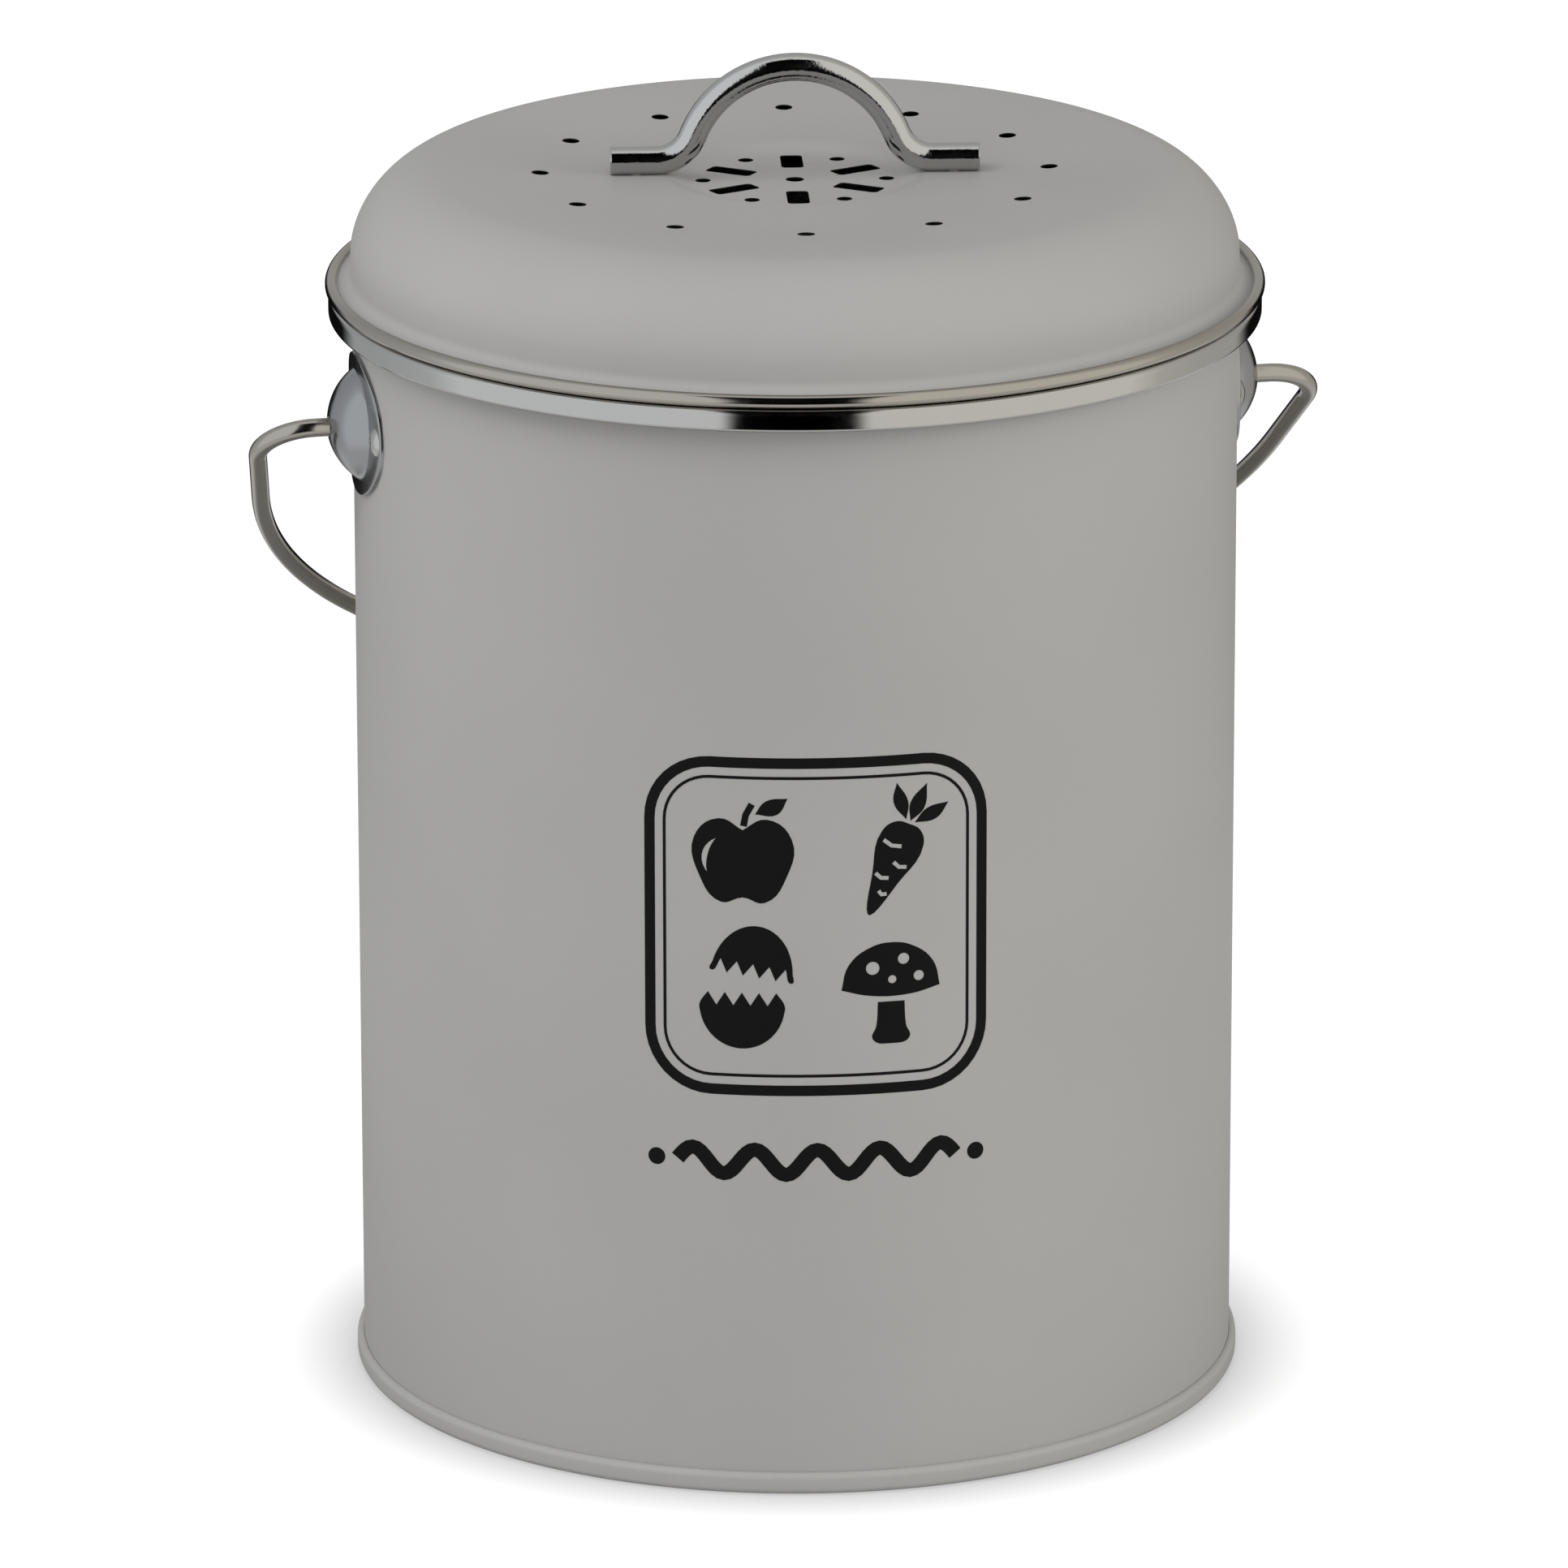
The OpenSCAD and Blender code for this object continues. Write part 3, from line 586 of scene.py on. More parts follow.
def make_rivet(side, front, bright):
    """A rivet through ear and wall: low domed head outside, flat head inside."""
    plate_r = WALL_R + EAR_T
    sphere_r = (RIVET_HEAD_R ** 2 + RIVET_HEAD_T ** 2) / (2 * RIVET_HEAD_T)
    reach = asin(RIVET_HEAD_R / sphere_r)
    tip = plate_r + RIVET_HEAD_T
    inner_face = MOUTH_R - 0.05 * MM
    inner_end = inner_face - RIVET_HEAD_T
    edge = 0.2 * MM
    # The domed head beds 0.06 mm into the ear's curve
    bed = plate_r - 0.06 * MM
    profile = [(0, inner_end), (RIVET_HEAD_R - edge, inner_end), (RIVET_HEAD_R, inner_end + edge)]
    profile += [(RIVET_HEAD_R, inner_face), (RIVET_SHANK_R, inner_face)]
    profile += [(RIVET_SHANK_R, bed), (RIVET_HEAD_R, bed)]
    profile += [(x, tip - sphere_r + y) for x, y in arc((0, 0), sphere_r, 90 - degrees(reach), 90, 8)]
    turn = asin(RIVET_OUT / plate_r) * (-1 if front else 1)
    place = Matrix.Translation((0, 0, PIVOT_Z + EAR_RISE)) @ Matrix.Rotation(turn, 4, "Z")
    place = place @ Matrix.Rotation(pi / 2, 4, "Y")
    if side < 0:
        place = Matrix.Scale(-1, 4, (1, 0, 0)) @ place
    shape = placed(lathe(profile, closed=False, segments=48), place)
    name = ("right" if side > 0 else "left") + ("_front" if front else "_rear") + "_rivet"
    make_piece(name + "_head", shape, bright, "can", [name])


def make_bucket(liner):
    """The lift-out liner bucket, with a rolled lip and three stacking ribs."""
    bucket_low, bucket_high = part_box("inner_bucket")
    floor, top_z = bucket_low.z, bucket_high.z
    lip_r = bucket_high.x - 0.05 * MM
    top_r = lip_r - 1.75 * MM
    low_r = top_r - 7.0 * MM
    thick = 1.6 * MM
    lip_h = 3.4 * MM
    foot_round = 2.5 * MM
    rise = 0.02 * MM

    def wall_at(z):
        """The bucket's outer radius at height z; its wall tapers to the floor."""
        return low_r + (top_r - low_r) * (z - floor) / (top_z - lip_h - floor)

    # The floor's middle is dished up by 0.6 mm
    profile = [(0, floor + 0.6 * MM), (low_r - 12 * MM, floor + 0.6 * MM), (low_r - 11 * MM, floor + rise)]
    profile += arc((low_r - foot_round, floor + foot_round + rise), foot_round, -90, -2, 6)
    for below_lip in (22, 17, 12):
        rib_z = top_z - lip_h - below_lip * MM
        for dz, out in ((-1.2, 0), (-0.6, 0.35), (0.6, 0.35), (1.2, 0)):
            profile.append((wall_at(rib_z + dz * MM) + out * MM, rib_z + dz * MM))
    profile += [(top_r, top_z - lip_h), (lip_r - 0.4 * MM, top_z - lip_h)]
    profile += arc((lip_r - 1.2 * MM, top_z - 1.2 * MM), 1.2 * MM, 0, 90, 6)
    profile += arc((top_r - thick + 0.9 * MM, top_z - 0.9 * MM), 0.9 * MM, 90, 180, 5)
    inside = floor + 1.8 * MM
    profile += arc((low_r - thick - foot_round, inside + foot_round), foot_round, 2, -90, 6)
    profile += [(0, inside)]
    shape = lathe(profile, closed=False, segments=MOULDING_SEGMENTS)
    make_piece("liner_bucket", shape, liner, "can", ["inner_bucket"])


# ---------------------------------------------------------------- the bail
def bail_path():
    """The wire's middle line, laid out flat: a straight arm through each ear, tight corners, one long bow."""
    length = (WALL_R + WIRE_R + BAIL_BACK) / cos(BAIL_HANG)
    bow_r = (BAIL_S ** 2 + length ** 2) / (2 * length) - BAIL_EASING
    bow_d = length - bow_r
    bow_from = atan2(-bow_d, BAIL_S) + acos(bow_r / hypot(BAIL_S, bow_d))
    turn = bow_from + pi / 2
    corner_s = BAIL_S - BAIL_CORNER_R * tan(turn / 2)
    corner = Vector((corner_s, BAIL_CORNER_R, 0))
    half = spaced(Vector((WIRE_HEAD_X, 0, 0)), Vector((corner_s, 0, 0)), 1.5 * MM)
    half += arc_path(corner, BAIL_CORNER_R, -pi / 2, turn - pi / 2, 24)
    arm_start = corner + BAIL_CORNER_R * Vector((cos(turn - pi / 2), sin(turn - pi / 2), 0))
    arm_end = Vector((bow_r * cos(bow_from), bow_d + bow_r * sin(bow_from), 0))
    half += spaced(arm_start, arm_end, 3 * MM)
    half += arc_path((0, bow_d), bow_r, bow_from, pi / 2, 60)
    other = [Vector((-p.x, p.y, 0)) for p in reversed(half)]
    return half + [Vector((0, length, 0))] + other


def make_bail(satin):
    """The wire bail, with the upset heads that hold its ends inside the ears' domes."""
    place = Matrix.Translation((0, 0, PIVOT_Z)) @ Matrix.Rotation(-BAIL_HANG, 4, "X")
    shapes = [placed(sweep(bail_path(), WIRE_R, 0.2 * MM), place)]
    edge = 0.3 * MM
    profile = [(0, 0), (WIRE_HEAD_R - edge, 0), (WIRE_HEAD_R, edge), (WIRE_HEAD_R, WIRE_HEAD_T - edge)]
    profile += [(WIRE_HEAD_R - edge, WIRE_HEAD_T), (0, WIRE_HEAD_T)]
    for side in (-1, 1):
        along = Matrix.Translation((side * (WIRE_HEAD_X - 0.2 * MM), 0, PIVOT_Z))
        along = along @ Matrix.Rotation(side * pi / 2, 4, "Y")
        shapes.append(placed(lathe(profile, closed=False, segments=ROD_SEGMENTS), along))
    make_piece("wire_bail", join_shapes(shapes), satin, "carry_bail", ["bail"], crease=40)


# ---------------------------------------------------------------- the lid
def shoulder(inset):
    """The lid's rounded shoulder from its top edge down to the skirt, inset from the outer skin."""
    steps = 26
    points = []
    for i in range(steps + 1):
        a = pi / 2 * i / steps
        across = (SHOULDER_W - inset) * sin(a) ** (2 / SHOULDER_POWER)
        up = (SHOULDER_H - inset) * max(cos(a), 0) ** (2 / SHOULDER_POWER)
        points.append((SKIRT_R - SHOULDER_W + across, CROWN_Z - SHOULDER_H + up))
    return points


def lid_skin(inset):
    """One skin of the lid from the axis out to its flange: dish, flat, crown, shoulder and flare."""
    flat = LID_TOP - inset
    points = [(0, flat - DISH_DEPTH), (DISH_FLOOR_R - 0.4 * MM, flat - DISH_DEPTH)]
    dish_steps = 10
    for i in range(dish_steps + 1):
        fall = DISH_DEPTH * (1 + cos(pi * i / dish_steps)) / 2
        points.append((DISH_FLOOR_R + (DISH_R - DISH_FLOOR_R) * i / dish_steps, flat - fall))
    points.append((DISH_R + 1 * MM, flat))
    crown_steps = 20
    for i in range(crown_steps):
        rise = (CROWN_Z - LID_TOP) * (1 - cos(pi * i / crown_steps)) / 2
        points.append((SKIRT_R - SHOULDER_W - CROWN_W * (1 - i / crown_steps), flat + rise))
    points += shoulder(inset)
    points += arc((SKIRT_R + FLARE_R, SKIRT_LOW), FLARE_R + inset, 180, 270, 10)
    points += [(LID_RING_R - 0.4 * MM, FLANGE_Z - inset)]
    return points


def prism(outline, low, high):
    """An upright prism on an outline of (x, y)."""
    count = len(outline)
    verts = [Vector((x, y, low)) for x, y in outline] + [Vector((x, y, high)) for x, y in outline]
    faces = ring_faces(2, count, False)
    faces += [tuple(range(count))[::-1], tuple(range(count, 2 * count))]
    return verts, faces


def round_vent(radius, ring_r, turn):
    """A round vent's outline, ring_r from the middle of the lid."""
    x, y = ring_r * cos(turn), ring_r * sin(turn)
    return [(x + radius * cos(a), y + radius * sin(a)) for a in angles(HOLE_SEGMENTS)]


def slot_vent(turn):
    """A slot's outline, which points away from the middle of the lid."""
    slot = []
    for sx, sy, start in ((1, 1, 0), (-1, 1, 90), (-1, -1, 180), (1, -1, 270)):
        x = SLOT_RING_R + sx * (SLOT_HALF_L - SLOT_CORNER_R)
        y = sy * (SLOT_HALF_W - SLOT_CORNER_R)
        slot += arc((x, y), SLOT_CORNER_R, start, start + 90, 6)
    return [(x * cos(turn) - y * sin(turn), x * sin(turn) + y * cos(turn)) for x, y in slot]


def vent_outlines():
    """The lid's vents as (x, y) outlines; the slots lie between the holes of the dish."""
    outlines = [round_vent(CENTRE_VENT_R, 0, 0)]
    outlines += [round_vent(OUTER_VENT_R, OUTER_RING_R, LID_TURN + a) for a in angles(OUTER_VENTS)]
    for a in angles(DISH_VENTS):
        outlines.append(round_vent(DISH_VENT_R, DISH_RING_R, LID_TURN + a))
        outlines.append(slot_vent(LID_TURN + a + pi / DISH_VENTS))
    return outlines


def cut_vents(piece):
    """Cuts the vents through a lid, and leaves only the result in its mesh."""
    low, high = LID_TOP - DISH_DEPTH - 2 * MM, CROWN_Z + 1 * MM
    shape = join_shapes([prism(outline, low, high) for outline in vent_outlines()])
    cutter = new_object("vent_cutter", new_mesh("vent_cutter", shape))
    modifier = piece.modifiers.new("vents", "BOOLEAN")
    modifier.operation = "DIFFERENCE"
    modifier.solver = "EXACT"
    modifier.object = cutter
    bpy.context.view_layer.update()
    cut_mesh = bpy.data.meshes.new_from_object(piece.evaluated_get(bpy.context.evaluated_depsgraph_get()))
    piece.modifiers.clear()
    piece.data = cut_mesh
    bpy.data.objects.remove(cutter)


def make_lid(paint, shade_in_vents):
    """The domed lid with its vents punched through."""
    shape = lathe(lid_skin(0) + lid_skin(LID_T)[::-1], closed=False)
    piece = make_piece("domed_lid", shape, paint, "lid", ["lid_shell"])
    cut_vents(piece)
    dress(piece, paint, 32)
    # Upright faces on the lid's flat middle are the cut edges of its vents; they take the near-black painted
    # shade
    piece.data.materials.append(shade_in_vents)
    middle_r = OUTER_RING_R + 5.7 * MM
    for face in piece.data.polygons:
        upright = abs(face.normal.z) < 0.3 and hypot(face.center.x, face.center.y) < middle_r
        face.material_index = 1 if upright else 0


def make_lid_rim(rolled):
    """The bright rolled rim, drawn as a solid round bead that the lid's flange runs into."""
    bead = [(LID_RING_R + LID_ROLL_R * cos(a), LID_RING_Z + LID_ROLL_R * sin(a)) for a in angles(48)]
    make_piece("lid_edge_roll", lathe(bead), rolled, "lid", ["lid_rim"])


def make_lid_handle(rod_steel):
    """The bent rod: a tall arch between two straight feet that lie flat on the lid."""
    foot_z = LID_TOP + ROD_R - FOOT_FLAT
    slope_l = (ARCH_RISE - (ARCH_R + FOOT_BEND_R) * (1 - cos(ARCH_SLOPE))) / sin(ARCH_SLOPE)
    slope_start = Vector((ARCH_R * sin(ARCH_SLOPE), ARCH_RISE - ARCH_R * (1 - cos(ARCH_SLOPE)), 0))
    slope_end = slope_start + slope_l * Vector((cos(ARCH_SLOPE), -sin(ARCH_SLOPE), 0))
    foot_x = slope_end.x + FOOT_BEND_R * sin(ARCH_SLOPE)
    half = arc_path((0, ARCH_RISE - ARCH_R), ARCH_R, pi / 2, pi / 2 - ARCH_SLOPE, 26)
    half += spaced(slope_start, slope_end, 1.5 * MM)
    half += arc_path((foot_x, FOOT_BEND_R), FOOT_BEND_R, 1.5 * pi - ARCH_SLOPE, 1.5 * pi, 16)
    half += spaced(Vector((foot_x, 0, 0)), Vector((HANDLE_L / 2, 0, 0)), 2 * MM)
    half.append(Vector((HANDLE_L / 2, 0, 0)))
    other = [Vector((-p.x, p.y, 0)) for p in reversed(half[1:])]
    place = Matrix.Rotation(LID_TURN, 4, "Z") @ Matrix.Translation((0, 0, foot_z))
    place = place @ Matrix.Rotation(pi / 2, 4, "X")
    verts, faces = placed(sweep(other + half, ROD_R, 0.25 * MM), place)
    # The feet are pressed flat where they lie on the lid
    for v in verts:
        v.z = max(v.z, LID_TOP)
    make_piece("arched_rod_handle", (verts, faces), rod_steel, "lid", ["lid_handle"], crease=40)


def make_collar(bright):
    """The locating collar under the lid, with its bottom edge hemmed and its top band in the skirt."""
    outside = MOUTH_R - 0.6 * MM
    thick = 0.5 * MM
    step = 1.6 * MM
    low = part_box("lid_collar")[0].z
    band_r = SKIRT_R - 0.6 * MM
    band_top = SKIRT_LOW + 2.6 * MM
    profile = arc((outside - thick / 2, low + thick / 2), thick / 2, 180, 360, 6)
    profile += [(outside, SKIRT_LOW - step), (band_r, SKIRT_LOW), (band_r, band_top)]
    profile += [(band_r - thick, band_top), (band_r - thick, SKIRT_LOW), (outside - thick, SKIRT_LOW - step)]
    shape = lathe(profile)
    make_piece("lid_locating_collar", shape, bright, "lid", ["lid_collar"])


def make_filter_ring(black):
    """The moulded ring in the collar, with the sleeve that holds the filter basket."""
    ring_low, ring_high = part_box("filter_ring")
    low, top = ring_low.z, ring_high.z
    rim_r = ring_high.x - 0.05 * MM
    sleeve_in, sleeve_out = 72.0 * MM, 73.4 * MM
    under = top - 1.6 * MM
    fillet = 0.8 * MM
    edge, top_edge = 0.3 * MM, 0.4 * MM
    profile = [(sleeve_in, low + edge), (sleeve_in + edge, low), (sleeve_out - edge, low)]
    profile += [(sleeve_out, low + edge), (sleeve_out, under - fillet), (sleeve_out + fillet, under)]
    profile += [(rim_r, under), (rim_r, top), (sleeve_in + top_edge, top), (sleeve_in, top - top_edge)]
    shape = lathe(profile, segments=MOULDING_SEGMENTS)
    make_piece("filter_holder_ring", shape, black, "lid", ["filter_ring"])


def make_filter_pad(felt):
    """The charcoal pad, cut from felt with soft edges, its top sagging a little to the middle."""
    low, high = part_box("carbon_filter")
    radius = high.x
    edge = 1.2 * MM
    sag = 0.3 * MM
    bottom = low.z + 0.01 * MM
    profile = [(0, bottom), (radius - edge, bottom)]
    profile += arc((radius - edge, low.z + edge), edge, -80, 0, 5)
    profile += arc((radius - edge, high.z - edge), edge, 0, 90, 5)
    profile += [(radius * i / 12, high.z - sag * (1 - i / 12)) for i in range(11, 0, -1)]
    profile += [(0, high.z - sag)]
    shape = lathe(profile, closed=False, segments=128)
    pad = make_piece("charcoal_filter_pad", shape, felt, "filter", ["carbon_filter"])


# ---------------------------------------------------------------- the print
# The angle of the print's middle about Z, the height of its lower edge, and the ink's thickness
PRINT_TURN = radians(-99.2)
PRINT_LOW = 60.7 * MM
INK_PROUD = 0.035 * MM
# Half the width of the design's frame, in millimetres
PRINT_HALF_W = 33.4


def spline(points):
    """A closed outline in millimetres; a point with a third value of 0 is a sharp corner."""
    return [(p[0], p[1], len(p) < 3 or bool(p[2])) for p in points]


def circle_outline(x, y, radius):
    """A circle about (x, y)."""
    return spline([(x + radius * cos(a), y + radius * sin(a)) for a in angles(24)])


def box_outline(half_w, low, high, corner):
    """A rectangle with round corners."""
    points = []
    top, bottom = high - corner, low + corner
    for sx, y, start in ((1, top, 0), (-1, top, 90), (-1, bottom, 180), (1, bottom, 270)):
        points += arc((sx * (half_w - corner), y), corner, start, start + 90, 10)
    return spline([p + (0,) for p in points])


def ribbon(points, width, taper=False):
    """A stroke along open points, with round ends, or pointed ones where it tapers."""
    left, right = [], []
    count = len(points)
    for i, (x, y) in enumerate(points):
        ax, ay = points[max(i - 1, 0)]
        bx, by = points[min(i + 1, count - 1)]
        length = hypot(bx - ax, by - ay)
        nx, ny = -(by - ay) / length, (bx - ax) / length
        half = width / 2 * (sin(pi * i / (count - 1)) if taper else 1)
        left.append((x + nx * half, y + ny * half, 0))
        right.append((x - nx * half, y - ny * half, 0))
    return spline(left + right[::-1])


def moved(outlines, x, y, turn=0.0):
    """Outlines turned by turn degrees and moved by (x, y)."""
    c, s = cos(radians(turn)), sin(radians(turn))
    return [[(px * c - py * s + x, px * s + py * c + y, k) for px, py, k in outline] for outline in outlines]


def apple():
    """An apple with a stalk, a leaf and a curved shine on its left."""
    fruit = spline([
        (0, 5.6, 0), (4.6, 7.8), (9.4, 3.8), (8.4, -3.6), (4.2, -8.8), (0, -7.8),
        (-4.2, -8.8), (-8.4, -3.6), (-9.4, 3.8), (-4.6, 7.8)])
    stalk = ribbon([(0.2, 6.4), (0.6, 8.6), (1.8, 10.8)], 1.3)
    leaf = spline([(2.4, 8.8, 0), (4.4, 11.4), (8.6, 12, 0), (6.6, 8.8)])
    shine = ribbon(arc((-2, -0.6), 5.4, 125, 206, 9), 1.1, taper=True)
    return [fruit, stalk, leaf, shine]


def carrot():
    """A carrot with short growth rings and three leaves."""
    root = spline([
        (-4.4, 4.6), (-2.6, 7.2), (0, 7.6), (2.6, 7.2), (4.4, 4.6),
        (2.7, -4), (0.3, -11.6), (-0.3, -11.6), (-2.7, -4)])
    rings = [ribbon([(x0, y), ((x0 + x1) / 2, y - 0.5), (x1, y)], 0.8) for x0, x1, y in (
        (-3.4, 0.4, 3.0), (0.2, 3.0, -0.4), (-2.2, 0.6, -3.6), (-0.2, 1.5, -6.6))]
    tops = [spline([(0, 8.2, 0), (-1.5, 11.5), (0, 16.2, 0), (1.5, 11.5)])]
    for side in (-1, 1):
        leaf = ((0.9, 8.2, 0), (2.0, 11.6, 1), (5.6, 14.2, 0), (4.6, 10.4, 1))
        tops.append(spline([(side * x, y, smooth) for x, y, smooth in leaf]))
    return [root] + rings + tops


def eggshell():
    """A cup and a cap of shell with broken edges."""
    teeth = 5
    half_w, depth, bite = 8.2, 1.05, 2.6
    cup = [(x, y * depth, 1) for x, y in arc((0, 0), half_w, 180, 360, 16)]
    cup += [(half_w * (1 - i / teeth), bite if i % 2 else 0, 0) for i in range(1, 2 * teeth)]
    cap_half_w, height, lift = 7.87, 1.25, 3.6
    cap = [(x * 0.96, y * height + lift, 1) for x, y in arc((0, 0), half_w, 0, 180, 16)]
    cap += [(cap_half_w * (i / teeth - 1), lift + (bite if i % 2 else 0), 0) for i in range(1, 2 * teeth)]
    return moved([spline(cup)], 0, -1.6) + moved([spline(cap)], 1.2, 0.6, -9)


def mushroom():
    """A mushroom with spots on its cap."""
    cap = spline([
        (-9.6, 0.4, 0), (-8.2, 5.4), (-4, 8.8), (0, 9.6), (4, 8.8),
        (8.2, 5.4), (9.6, 0.4, 0), (4, -0.9), (-4, -0.9)])
    stem = spline([
        (-2.6, -2.2, 0), (-2.9, -7), (-3.6, -9.6), (0, -10.6), (3.6, -9.6), (2.9, -7), (2.6, -2.2, 0)])
    spots = ((-3.6, 4.6, 1.3), (2.4, 6.2, 1.1), (5.4, 2.6, 1.0), (0.2, 2.2, 0.8))
    return [cap, stem] + [circle_outline(x, y, r) for x, y, r in spots]


def design():
    """The printed design, in millimetres from the middle of its lower edge: a frame of a heavy and a
    fine line, each between two outlines, four kitchen scraps in it, and a wavy line with end dots below."""
    outlines = []
    for inset in (0, 2.1, 3.7, 4.3):
        outlines.append(box_outline(PRINT_HALF_W - inset, 20 + inset, 87.4 - inset, 13 - inset))
    outlines += moved(apple(), -14.2, 67.4)
    outlines += moved(carrot(), 14.6, 66.6, -24)
    outlines += moved(eggshell(), -14.4, 39.6)
    outlines += moved(mushroom(), 14.2, 40.6)
    wave_y, wave_half_w, waves, steps = 6.6, 27, 4.5, 72
    wave = []
    for i in range(steps + 1):
        along = i / steps
        wave.append((wave_half_w * (2 * along - 1), wave_y + 2.5 * sin(2 * pi * waves * along)))
    outlines.append(ribbon(wave, 2.9))
    outlines += [circle_outline(s * 31.2, wave_y, 1.7) for s in (-1, 1)]
    return outlines


def make_print(ink):
    """Fills the design, slices it finely across and wraps it on the wall as a thin layer of ink."""
    curve = bpy.data.curves.new("print_outline", "CURVE")
    curve.dimensions = "2D"
    curve.fill_mode = "BOTH"
    curve.resolution_u = 5
    for outline in design():
        path = curve.splines.new("BEZIER")
        path.bezier_points.add(len(outline) - 1)
        path.use_cyclic_u = True
        for point, (x, y, smooth) in zip(path.bezier_points, outline):
            point.co = (x * MM, y * MM, 0)
            point.handle_left_type = point.handle_right_type = "AUTO" if smooth else "VECTOR"
    holder = new_object("print_outline", curve)
    bpy.context.view_layer.update()
    flat = bpy.data.meshes.new_from_object(holder.evaluated_get(bpy.context.evaluated_depsgraph_get()))
    bpy.data.objects.remove(holder)
    work = bmesh.new()
    work.from_mesh(flat)
    bmesh.ops.remove_doubles(work, verts=work.verts, dist=1e-7)
    # Fine slices let the flat design bend round the wall
    slice_w = 1.5 * MM
    slices = int(PRINT_HALF_W * MM / slice_w) + 1
    for i in range(-slices, slices + 1):
        everything = work.verts[:] + work.edges[:] + work.faces[:]
        bmesh.ops.bisect_plane(work, geom=everything, plane_co=(i * slice_w, 0, 0), plane_no=(1, 0, 0))
    bmesh.ops.recalc_face_normals(work, faces=work.faces)
    if sum(f.normal.z for f in work.faces) < 0:
        bmesh.ops.reverse_faces(work, faces=work.faces)
    # The face of the ink is lifted by 1 for now, which tells it from the back when both are wrapped
    front = bmesh.ops.extrude_face_region(work, geom=work.faces[:])
    for v in (g for g in front["geom"] if isinstance(g, bmesh.types.BMVert)):
        v.co.z += 1.0
    for v in work.verts:
        radius = WALL_R + (INK_PROUD if v.co.z > 0.5 else -0.01 * MM)
        angle = PRINT_TURN + v.co.x / WALL_R
        v.co = Vector((radius * cos(angle), radius * sin(angle), PRINT_LOW + v.co.y))
    bmesh.ops.recalc_face_normals(work, faces=work.faces)
    mesh = bpy.data.meshes.new("front_print")
    work.to_mesh(mesh)
    work.free()
    piece = new_object("front_print", mesh)
    dress(piece, ink, 30)
    settle(piece, "can", ())


# ---------------------------------------------------------------- studio and camera
# The camera and the lamps are turned together about Z, from the caddy's front
CAMERA_TURN = radians(11.9)
CAMERA_DISTANCE = 2.332
CAMERA_HEIGHT = 0.840
CAMERA_DOWN = radians(17.24)
CAMERA_ROLL = radians(-0.09)
CAMERA_LENS_MM = 285.3
CAMERA_SHIFT = -0.0075

SOFTBOX_W = 1.2
LAMP_AIM = Vector((0, 0, 0.13))
FLOOR_HALF_W = 6.0


def studio_light(tree, x, y, z):
    """What bright metal mirrors: a white room, whitest in front, with the shades that draw its dark
    lines. The camera stands at -y, and each shade has soft edges."""
    front_to_back = add(tree, "ShaderNodeMapRange", {"From Min": -1.0, "From Max": 1.0}, {"Value": y})
    room = add(tree, "ShaderNodeValToRGB", links={"Fac": front_to_back.outputs["Result"]})
    stops = room.color_ramp.elements
    stops[0].position = 0.5
    stops[0].color = linear("#ffffff")
    stops[1].position = 0.9
    stops[1].color = linear("#bdbdbd")
    stops.new(0.6).color = linear("#dcdcdc")
    side = add(tree, "ShaderNodeMath", {"operation": "ABSOLUTE"}, {0: x}).outputs[0]
    forward = add(tree, "ShaderNodeMath", {"operation": "MULTIPLY", 1: -1.0}, {0: y}).outputs[0]
    rise = add(tree, "ShaderNodeMath", {"operation": "ARCTAN2"}, {0: z, 1: forward}).outputs[0]
    # The low dark end of the room behind the caddy, and an upright black flag round the camera. Each
    # edge: the value that it follows, where it starts and where the shade is full
    dark_end = ((y, 0.72, 0.84), (z, 0.15, -0.05))
    camera_flag = (
        (side, 0.31, 0.23), (rise, radians(-46), radians(-38)), (rise, radians(84), radians(74)))
    lights = []
    for depth, edges in ((0.99, dark_end), (1.0, camera_flag)):
        covers = []
        for value, start, full in edges:
            settings = {"interpolation_type": "SMOOTHSTEP", "From Min": start, "From Max": full}
            covers.append(add(tree, "ShaderNodeMapRange", settings, {"Value": value}).outputs["Result"])
        shade = covers[0]
        for cover in covers[1:]:
            shade = add(tree, "ShaderNodeMath", {"operation": "MULTIPLY"}, {0: shade, 1: cover}).outputs[0]
        light = add(tree, "ShaderNodeMath", {"operation": "MULTIPLY_ADD", 1: -depth, 2: 1.0}, {0: shade})
        lights.append(light.outputs[0])
    level = add(tree, "ShaderNodeMath", {"operation": "MULTIPLY"}, {0: lights[0], 1: lights[1]})
    # The room is a little cooler on the left than on the right
    sides = add(
        tree, "ShaderNodeMapRange", {"interpolation_type": "SMOOTHSTEP", "From Min": -0.7, "From Max": 0.7},
        {"Value": x})
    tint = add(
        tree, "ShaderNodeMix", {"data_type": "RGBA", 6: linear("#f8fbff"), 7: linear("#fffcf6")},
        {0: sides.outputs["Result"]})
    colour = add(
        tree, "ShaderNodeMix", {"data_type": "RGBA", "blend_type": "MULTIPLY", 0: 1.0},
        {6: room.outputs["Color"], 7: tint.outputs[2]})
    return add(tree, "ShaderNodeBackground", links={"Color": colour.outputs[2], "Strength": level.outputs[0]})


